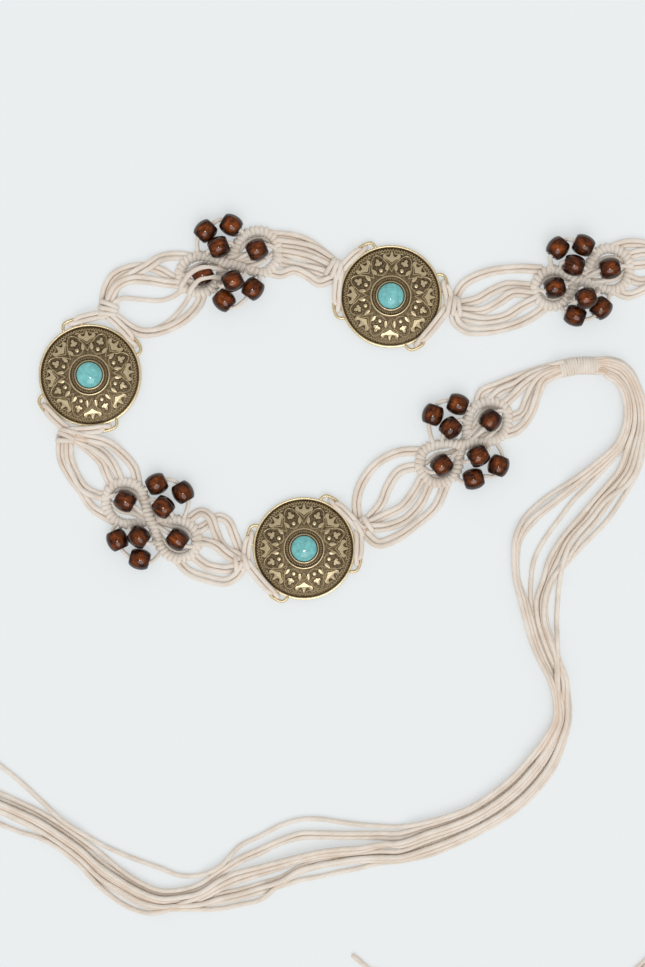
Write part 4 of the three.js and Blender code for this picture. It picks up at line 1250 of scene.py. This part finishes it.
def band_paths(concho, side, at):
    """The cords that cross below a knot, run along the rim, and turn down and back in the wire loops."""
    x, y, turn = CONCHOS[concho]
    knot_angle, knot_radius = knot_spot(concho, at)
    middle = np.array([x, y, 0.0])
    out = np.array([math.cos(knot_angle), math.sin(knot_angle), 0.0])
    level = np.array([-out[1], out[0], 0.0])
    meeting = middle + out * (knot_radius - BAND_MEETING)
    beyond, aside, half_gap, end_height = BAND_END
    paths = []
    for hand in (-1, 1):
        start = math.radians(turn + (0 if side > 0 else 180) + hand * LOOP_TURN)
        loop = middle + BAND_LOOP * np.array([math.cos(start), math.sin(start), 0.0])
        run = np.linalg.norm(meeting - loop)
        along = (meeting - loop) / run
        across = np.array([along[1], -along[0], 0.0])
        across *= math.copysign(1.0, across.dot(out))
        for lane in (-1, 1):
            knot_end = middle + out * (knot_radius + beyond) + level * hand * (half_gap * lane + aside)
            points = [knot_end + [0, 0, end_height]]
            for share, shift, spread, z in BAND_RUN:
                points.append(loop + along * share * run + across * (shift + lane * spread) + [0, 0, z])
            points[1][2] += BAND_OVER * hand
            for index in BAND_TURN:
                points[index] += along * lane * BAND_BESIDE
            paths.append(smooth_path(np.array(points) * MM, BAND_STEP * MM))
    return paths


def knot_line(concho, at):
    """The short line across the rim that the turns of a square knot follow."""
    angle, _ = knot_spot(concho, at)
    out = np.array([math.cos(angle), math.sin(angle), 0.0])
    middle = np.array([at[0], at[1], KNOT_HEIGHT])
    return [tuple((middle + out * step) * MM) for step in KNOT_RUN]


def bead_place(stretch_name, role):
    """Middle of a bead, from its CAD node, and the direction of its hole."""
    low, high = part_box(f"bead_{stretch_name}_{role}")
    turn = math.radians(STRETCHES[stretch_name]["beads"][role])
    return (np.array(low) + np.array(high)) / 2, np.array([math.cos(turn), math.sin(turn), 0.0])


def bead_strings(name, stretch, half_bead):
    """Short tight cords from the nearest row through the beads and on to the nearest row."""
    turn = math.radians(stretch["turn"])
    belt_way = np.array([math.cos(turn), math.sin(turn), 0.0])
    crossing = np.array([*stretch["cross"], STRING_HEIGHT]) * MM
    sides = ("left_px", "right_px")
    loops = {key: [row_point(place, STRING_HEIGHT) for place in stretch[key]] for key in sides}

    def nearest(key, mouth):
        row = smooth_path(np.array(loops[key]), ROW_STEP * MM)
        return row[np.argmin(np.linalg.norm(row[:, :2] - mouth[:2], axis=1))]

    def through(roles, start=None, end=None):
        points = []
        for role in roles:
            middle, hole = bead_place(name, role)
            reach = hole * (half_bead + STRING_STRAIGHT * MM)
            points += [middle - reach, middle, middle + reach]
        first = nearest("left_px", points[0]) if start is None else start
        last = nearest("right_px", points[-1]) if end is None else end
        return smooth_path(np.array([first, *points, last]), STRING_STEP * MM)

    left_tip, right_tip = (loops[key][tip] for key, tip in zip(sides, stretch["tips"]))
    strings = [
        through(["loop_left"], left_tip, crossing - belt_way * STRING_END * MM),
        through(["loop_right"], crossing + belt_way * STRING_END * MM, right_tip),
    ]
    for row in ("above", "below"):
        strings.append(through([f"{row}_inner"]))
        strings.append(through([f"{row}_left", f"{row}_right"]))
    return strings


def loop_strands(name, stretch):
    """Bare cords that pass on both sides under the bead of each loop, from the loop's tip to the crossing."""
    crossing = np.array([*stretch["cross"], STRAND_HEIGHT]) * MM
    strands = []
    for key, role, tip_number in zip(("left_px", "right_px"), ("loop_left", "loop_right"), stretch["tips"]):
        tip = row_point(stretch[key][tip_number], STRAND_HEIGHT)
        middle, _ = bead_place(name, role)
        middle[2] = STRAND_HEIGHT * MM
        ahead = (crossing - tip) / np.linalg.norm(crossing - tip)
        aside = np.array([-ahead[1], ahead[0], 0.0])
        for hand in (-1, 1):
            bows = [middle + (ahead * step + aside * hand * bow) * MM for step, bow in LOOP_BOWS]
            strands.append(smooth_path(np.array([tip, *bows, crossing]), STRING_STEP * MM))
    return strands


class KnotworkBuild(bpy.types.Operator):
    """Make the four knotted stretches: rows of hitches, bare cords, square knots and bead strings"""
    bl_idname = "belt.knotwork"
    bl_label = "Knotwork"

    def execute(self, context):
        look = context.scene.belt_cord
        knots = context.scene.belt_knots
        half_bead = context.scene.belt_beads.length / 2
        material = cotton()
        tree = shared_tree("Turns of cord", turns_tree)
        for number, (name, stretch) in enumerate(STRETCHES.items()):
            shell = Shell()
            for body in cord_bodies(span_paths(stretch, look), look.diameter, SPAN_TWIST):
                shell.add(*body)
            for path in bead_strings(name, stretch, half_bead):
                shell.add(*tube(path, STRING_RADIUS * MM, THIN_SIDES))
            for path in loop_strands(name, stretch):
                shell.add(*tube(path, look.diameter / 2, THIN_SIDES))
            for route in stretch["over"]:
                path = smooth_path(np.array(route) * MM, STRING_STEP * MM)
                shell.add(*tube(path, look.diameter / 2, CORD_SIDES))
            for lane, line in enumerate(hitch_lines(stretch)):
                row = grown(on_line(line), tree, {
                    "Width": knots.row_width, "Height": knots.row_height, "Cord": look.diameter * HITCH_CORD,
                    "Pitch": knots.pitch, "Tilt": ROW_TILT if lane else -ROW_TILT,
                    "Looseness": ROW_LOOSENESS, "Seed": SEED + 10 * number + lane, "Material": material})
                shell.add_mesh(row)
                core = line - np.array([0, 0, ROW_CORE_DROP * MM])
                shell.add(*tube(core[::2], ROW_CORE * MM, THIN_SIDES))
            for concho, side, at in stretch["knots"]:
                for body in cord_bodies(band_paths(concho, side, at), BAND_CORD * MM, SPAN_TWIST):
                    shell.add(*body)
                turns = grown(on_line(knot_line(concho, at)), tree, {
                    **KNOT_TURNS, "Cord": look.diameter, "Seed": SEED + number, "Material": material})
                shell.add_mesh(turns)
            finished(shell.object(f"knotwork_{name}", material), "cotton_cord", f"macrame_{name}")
        return {"FINISHED"}


class WrapsBuild(bpy.types.Operator):
    """Wind the cord round the bundle at both wrapped knots"""
    bl_idname = "belt.wraps"
    bl_label = "Wrapped knots"

    def execute(self, context):
        look = context.scene.belt_cord
        knots = context.scene.belt_knots
        material = cotton()
        tree = shared_tree("Turns of cord", turns_tree)
        for number, (name, route) in enumerate(WRAPS.items()):
            line = smooth_path(np.array(route) * MM, WRAP_STEP * MM)
            trim = int(WRAP_INSET * MM / length_of(line) * len(line)) + 1
            shell = Shell()
            turns = grown(on_line(line[trim:-trim]), tree, {
                **WRAP_TURNS, "Width": knots.wrap_width, "Height": knots.wrap_height,
                "Seed": SEED + number, "Material": material})
            shell.add_mesh(turns)
            core = smooth_path(np.array(route) * MM, WRAP_CORE_STEP * MM)
            shell.add(*tube(core, WRAP_CORE * MM, CORD_SIDES))
            finished(shell.object(f"wrapped_knot_{name}", material), "cotton_cord", f"wrap_{name}")
        return {"FINISHED"}


def lathe(profile, sides, worn):
    """Corners, faces, UVs and wear marks of a closed turned body, from a profile that ends on the axis."""
    angle = np.arange(sides) * 2 * math.pi / sides
    corners = [(0.0, 0.0, profile[0][1])]
    marks = [worn[0]]
    for (radius, height), mark in zip(profile[1:-1], worn[1:-1]):
        corners.extend([(radius * math.cos(a), radius * math.sin(a), height) for a in angle])
        marks.extend([mark] * sides)
    corners.append((0.0, 0.0, profile[-1][1]))
    marks.append(worn[-1])
    rings = len(profile) - 2
    faces = []
    uvs = []
    for i in range(sides):
        after = (i + 1) % sides
        faces.append([0, 1 + after, 1 + i])
        uvs.extend([(0.5, 0.0), ((i + 1) / sides, 0.05), (i / sides, 0.05)])
    side_faces, side_uvs = walls(sides, [(j + 1) / rings for j in range(rings)], first=1)
    faces += side_faces
    uvs += side_uvs
    last = len(corners) - 1
    start = 1 + (rings - 1) * sides
    for i in range(sides):
        after = (i + 1) % sides
        faces.append([start + i, start + after, last])
        uvs.extend([(i / sides, 0.95), ((i + 1) / sides, 0.95), (0.5, 1.0)])
    return np.array(corners), faces, uvs, marks


def dome_height(radius):
    """Height of the convex dome of a concho, in millimetres."""
    inner, outer = DOME_EDGES
    share = np.clip((radius - inner) / (outer - inner), 0, 1)
    return DOME_TOP - DOME_FALL * share + DOME_BULGE * np.sin(math.pi * share)


def raised(outline, lift, bevel):
    """A motif that stands up from the dome, with a dark line round its foot.

    The outline is [radius, sideways] pairs in millimetres, anticlockwise."""
    outline = np.array(outline, float)
    after = np.roll(outline, -1, axis=0) - np.roll(outline, 1, axis=0)
    outward = np.column_stack([after[:, 1], -after[:, 0]])
    outward /= np.linalg.norm(outward, axis=1)[:, None]
    count = len(outline)
    side_share, side_wear = MOTIF_SIDE
    corners = []
    marks = []
    for out, rise, mark in (*MOTIF_FOOT, (0.0, side_share * lift, side_wear), (-bevel, lift, 1.0)):
        for r, s in outline + outward * out:
            corners.append((r, s, dome_height(math.hypot(r, s)) + rise))
            marks.append(mark)
    top = len(MOTIF_FOOT) + 1
    faces, _ = walls(count, range(top + 1))
    faces.append([top * count + i for i in range(count)])
    return np.array(corners), faces, marks


def rounded(points):
    """A closed outline with its corners cut once by Chaikin's rule."""
    points = np.array(points, float)
    after = np.roll(points, -1, axis=0)
    return np.stack([0.75 * points + 0.25 * after, 0.25 * points + 0.75 * after], axis=1).reshape(-1, 2)


# Ornament of one eighth of a concho, [radius, sideways] in millimetres, anticlockwise seen from above
PALMETTE_SIDE = [
    (14.5, 0), (15.2, 0.8), (15.8, 1.7), (16.3, 2.6), (16.3, 3.3), (16.9, 3.9), (17.8, 3.9), (18.4, 3.3),
    (18.2, 2.6), (17.5, 2.3), (17.0, 1.6), (17.3, 0.85), (18.3, 0.6), (19.4, 0.3),
]
LEAF_EDGE = [
    (13.9, 0), (14.1, 0.4), (14.45, 0.5), (14.3, 1.1), (14.7, 1.6), (15.35, 1.6), (15.75, 1.1), (15.65, 0.5),
    (16.1, 0.75), (16.6, 0.7), (17.3, 0.1),
]
DROP = [
    (-1.7, 0.05), (-1.2, -0.7), (-0.3, -0.75), (0.8, -0.4), (1.7, 0.4), (0.7, 0.6), (-0.5, 0.7), (-1.3, 0.6),
]
HEART_LINE = [
    (9.7, 0.0), (10.3, 1.6), (11.8, 3.5), (13.6, 3.75), (15.2, 3.0), (16.8, 2.5), (18.4, 1.2), (18.9, 0),
]
PALMETTE_LINES = (
    [(13.7, 0.0), (14.9, 1.3), (15.9, 2.6), (16.1, 3.6), (16.7, 4.4)],
    [(10.6, 0.0), (12.2, 0.9), (13.9, 1.7), (15.1, 2.9)],
    [(19.0, 0.9), (18.5, 1.5), (18.4, 2.8), (18.6, 4.2), (18.2, 5.0)],
)


def both_sides(side):
    """A whole outline, anticlockwise, from the points of its left half."""
    right = [(r, -s) for r, s in side]
    return right + [point for point in side[::-1] if point[1] > 0]


def turned(outline, degrees, place):
    """An outline turned about its own middle and then carried to [radius, sideways]."""
    angle = math.radians(degrees)
    spin = np.array([[math.cos(angle), -math.sin(angle)], [math.sin(angle), math.cos(angle)]])
    return np.array(outline) @ spin.T + np.array(place)


def about_axis(corners, angle):
    """Corners turned about the upright axis."""
    c, s = math.cos(angle), math.sin(angle)
    return corners @ np.array([[c, s, 0], [-s, c, 0], [0, 0, 1]])


def oval(half_length, half_width, count):
    """The outline of an oval."""
    angles = np.linspace(0, 2 * math.pi, count, endpoint=False)
    return [(half_length * math.cos(a), half_width * math.sin(a)) for a in angles]


def no_uvs(faces):
    """Equal UVs for every corner of every face, for castings, whose metal doesn't use them."""
    return [(0.5, 0.5)] * sum(len(face) for face in faces)


def eighth(relief):
    """The castings of one eighth: a palmette, a leaf, a dot, two drops and the line frame round them."""
    shell = Shell()
    half_step = math.pi / MOTIFS

    def add(outline, lift, bevel=MOTIF_BEVEL, angle=half_step):
        corners, faces, marks = raised(outline, lift, bevel)
        shell.add(about_axis(corners, angle) * MM, faces, no_uvs(faces), marks)

    add(rounded(both_sides(PALMETTE_SIDE)), relief, angle=0.0)
    add(rounded(both_sides(LEAF_EDGE)), relief * LEAF_LIFT)
    dot = [(DOT_PLACE + r, s) for r, s in oval(DOT_RADIUS, DOT_RADIUS, DOT_POINTS)]
    add(dot, relief * SMALL_LIFT, DOT_BEVEL)
    for hand in (-1, 1):
        drop = (np.array(DROP) * np.array([1, hand]))[::hand]
        angle = hand * DROP_ANGLE
        middle = (DROP_PLACE * math.cos(angle), DROP_PLACE * math.sin(angle))
        add(rounded(turned(drop, hand * DROP_LEAN, middle)), relief * SMALL_LIFT)
    for line, angle in [(HEART_LINE, half_step)] + [(line, 0.0) for line in PALMETTE_LINES]:
        for hand in (-1, 1):
            points = np.array([(r, hand * s, dome_height(math.hypot(r, s)) + LINE_LIFT) for r, s in line])
            path = smooth_path(about_axis(points, angle) * MM, LINE_STEP * MM)
            corners, faces, uvs = tube(path, LINE_RADIUS * MM, LINE_SIDES)
            shell.add(corners, faces, uvs, np.full(len(corners), LINE_WEAR))
    return shell


def wire_loop(turn):
    """A soldered half ring of round wire on the rim."""
    inner, reach, half, height = 21.9, 25.3, 4.3, 2.4
    side = [(inner, half), (reach - 1.6, half - 0.35), (reach - 0.45, half / 2 + 0.9),
            (reach, half / 2 - 0.6)]
    outline = [(r, -s) for r, s in side] + side[::-1]
    angle = math.radians(turn)
    points = [(r * math.cos(angle) - s * math.sin(angle), r * math.sin(angle) + s * math.cos(angle), height)
              for r, s in outline]
    path = smooth_path(np.array(points) * MM, WIRE_STEP * MM)
    corners, faces, uvs = tube(path, WIRE_RADIUS * MM, WIRE_SIDES)
    return corners, faces, uvs, np.full(len(corners), WIRE_WEAR)


class ConchosBuild(bpy.types.Operator):
    """Make the three cast conchos with raised ornament, milled rings and wire loops"""
    bl_idname = "belt.conchos"
    bl_label = "Conchos"

    def execute(self, context):
        look = context.scene.belt_concho
        material = antique_brass()
        tree = shared_tree("Ring of castings", ring_tree)
        disc = Shell()
        dome = [(radius, float(dome_height(radius)), DOME_WEAR) for radius in np.linspace(*DOME_ROWS)]
        rows = DISC_RIM + dome + DISC_SEAT
        corners, faces, uvs, marks = lathe([row[:2] for row in rows], DISC_SIDES, [row[2] for row in rows])
        disc.add(corners * MM, faces, uvs, marks)
        for middle in (0, 180):
            for hand in (-1, 1):
                disc.add(*wire_loop(middle + hand * LOOP_TURN))
        for casting, count, start in self.castings(look.relief / MM):
            ring = grown(casting, tree, {"Count": count, "Start": start, "Material": material})
            disc.add_mesh(ring, "worn")
        for name, (x, y, turn) in CONCHOS.items():
            shell = Shell()
            corners = about_axis(np.concatenate(disc.corners), math.radians(turn))
            shell.add(corners + np.array([x, y, 0]) * MM, disc.faces, np.concatenate(disc.uvs),
                      np.concatenate(disc.marks))
            thing = shell.object(f"cast_concho_{name}", material, "worn")
            thing.data.set_sharp_from_angle(angle=math.radians(SHARP_ANGLE))
            finished(thing, "antique_brass", f"concho_{name}")
        return {"FINISHED"}

    @staticmethod
    def castings(relief):
        """Each casting with how many stand round the ring and the angle of the first."""
        yield eighth(relief).mesh("casting", "worn"), MOTIFS, math.pi / MOTIFS
        for radius, count, size_of_grain, lean, foot in MILLED_RINGS:
            shell = Shell()
            outline = turned(oval(*size_of_grain, GRAIN_SIDES), lean, (0, 0))
            base = foot or float(dome_height(radius))
            corners = [(radius + r, s, base - GRAIN_DEPTH) for r, s in outline]
            corners += [(radius + GRAIN_TOP * r, GRAIN_TOP * s, base + GRAIN_RISE) for r, s in outline]
            faces, _ = walls(GRAIN_SIDES, range(2))
            faces.append([GRAIN_SIDES + i for i in range(GRAIN_SIDES)])
            marks = [wear for wear in GRAIN_WEAR for _ in range(GRAIN_SIDES)]
            shell.add(np.array(corners) * MM, faces, no_uvs(faces), marks)
            yield shell.mesh("casting", "worn"), count, 0.0
        shell = Shell()
        step = math.pi / BORDER_POINTS
        inner, outer = BORDER_EDGES
        points = [(r * math.cos(a), r * math.sin(a), float(dome_height(r)) + BORDER_LIFT)
                  for r, a in ((inner, -step), (outer, 0.0), (inner, step))]
        corners, faces, uvs = tube(np.array(points) * MM, LINE_RADIUS * MM, LINE_SIDES)
        shell.add(corners, faces, uvs, np.full(len(corners), BORDER_WEAR))
        yield shell.mesh("casting", "worn"), BORDER_POINTS, 0.0


class StonesBuild(bpy.types.Operator):
    """Set a turquoise cabochon in each concho"""
    bl_idname = "belt.stones"
    bl_label = "Cabochons"

    def execute(self, context):
        material = turquoise()
        for name in CONCHOS:
            low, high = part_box(f"stone_{name}")
            x, y = (low[0] + high[0]) / 2, (low[1] + high[1]) / 2
            radius, base, height = STONE_RADIUS * MM, low[2], high[2] - low[2]
            profile = [(0, base), (radius * STONE_FOOT, base), (radius, base + STONE_EDGE * height)]
            for tilt in np.radians(np.linspace(*STONE_TILTS)):
                rise = STONE_START + (1 - STONE_START) * math.sin(tilt) ** STONE_TOP
                profile.append((radius * math.cos(tilt) ** STONE_FLANK, base + height * rise))
            profile.append((0, base + height))
            corners, faces, uvs, marks = lathe(profile, STONE_SIDES, [0] * len(profile))
            shell = Shell()
            shell.add(corners + np.array([x, y, 0]), faces, uvs, marks)
            finished(shell.object(f"cabochon_{name}", material), "turquoise", f"stone_{name}")
        return {"FINISHED"}


class BeadsBuild(bpy.types.Operator):
    """Turn the wooden beads and string them in the knotwork"""
    bl_idname = "belt.beads"
    bl_label = "Wooden beads"

    def execute(self, context):
        look = context.scene.belt_beads
        material = varnished_wood()
        rng = random.Random(SEED)
        half, radius, hole = look.length / 2, look.radius, look.hole
        shoulder = math.radians(BEAD_SHOULDER)
        mouth = [*zip((hole, hole + BEAD_BEVEL * MM), BEAD_MOUTH), (radius * BEAD_FACE, 1.0)]
        profile = [(r, -half * share) for r, share in mouth]
        for bend in np.linspace(-shoulder, shoulder, BEAD_ROWS):
            along = half * BEAD_SHOULDER_PLACE * math.sin(bend) / math.sin(shoulder)
            profile.append((radius * math.cos(bend) ** BEAD_FLANK, along))
        profile += [(r, half * share) for r, share in mouth[::-1]]
        sides = BEAD_SIDES
        for name, stretch in STRETCHES.items():
            for role in stretch["beads"]:
                middle, axis = bead_place(name, role)
                level = np.array([-axis[1], axis[0], 0.0])
                corners = []
                polish = []
                spin = rng.uniform(0, 2 * math.pi)
                for r, h in profile:
                    for i in range(sides):
                        a = spin + 2 * math.pi * i / sides
                        corners.append(middle + axis * h + level * r * math.cos(a)
                                       + np.array([0, 0, 1.0]) * r * math.sin(a))
                        # Painted light on the upper side of the bead, fading towards its ends
                        polish.append(max(0.0, math.sin(a)) * (1 - (h / half) ** 2 * TOP_LIGHT_FADE) ** 0.5)
                rows = len(profile)
                faces, uvs = walls(sides, [j / rows for j in range(rows + 1)], offset=rng.uniform(0, 40),
                                   closed=True)
                shell = Shell()
                shell.add(corners, faces, uvs, polish)
                finished(shell.object(f"wooden_bead_{name}_{role}", material, "polish"), "wood_beads",
                         f"bead_{name}_{role}")
        return {"FINISHED"}


class BeltPanel(bpy.types.Panel):
    """Sidebar panel with a button for each group of pieces"""
    bl_idname = "VIEW3D_PT_belt"
    bl_label = "Western belt"
    bl_space_type = "VIEW_3D"
    bl_region_type = "UI"
    bl_category = "Belt"

    def draw(self, context):
        for operator in OPERATORS:
            self.layout.operator(operator.bl_idname)


SETTINGS = {
    "belt_cord": CordSettings, "belt_knots": KnotSettings, "belt_concho": ConchoSettings,
    "belt_beads": BeadSettings, "belt_stage": StageSettings,
}
OPERATORS = (StageBuild, TailsBuild, WrapsBuild, KnotworkBuild, ConchosBuild, StonesBuild, BeadsBuild)


def register():
    """Registers the settings, the steps and the panel."""
    for kind in (*SETTINGS.values(), *OPERATORS, BeltPanel):
        bpy.utils.register_class(kind)
    for name, kind in SETTINGS.items():
        setattr(bpy.types.Scene, name, bpy.props.PointerProperty(type=kind))


def unregister():
    """Takes back what register does."""
    for name in SETTINGS:
        delattr(bpy.types.Scene, name)
    for kind in reversed((*SETTINGS.values(), *OPERATORS, BeltPanel)):
        bpy.utils.unregister_class(kind)


def main():
    """Builds every piece."""
    register()
    for operator in OPERATORS:
        group, name = operator.bl_idname.split(".")
        getattr(getattr(bpy.ops, group), name)()


if __name__ == "__main__":
    main()
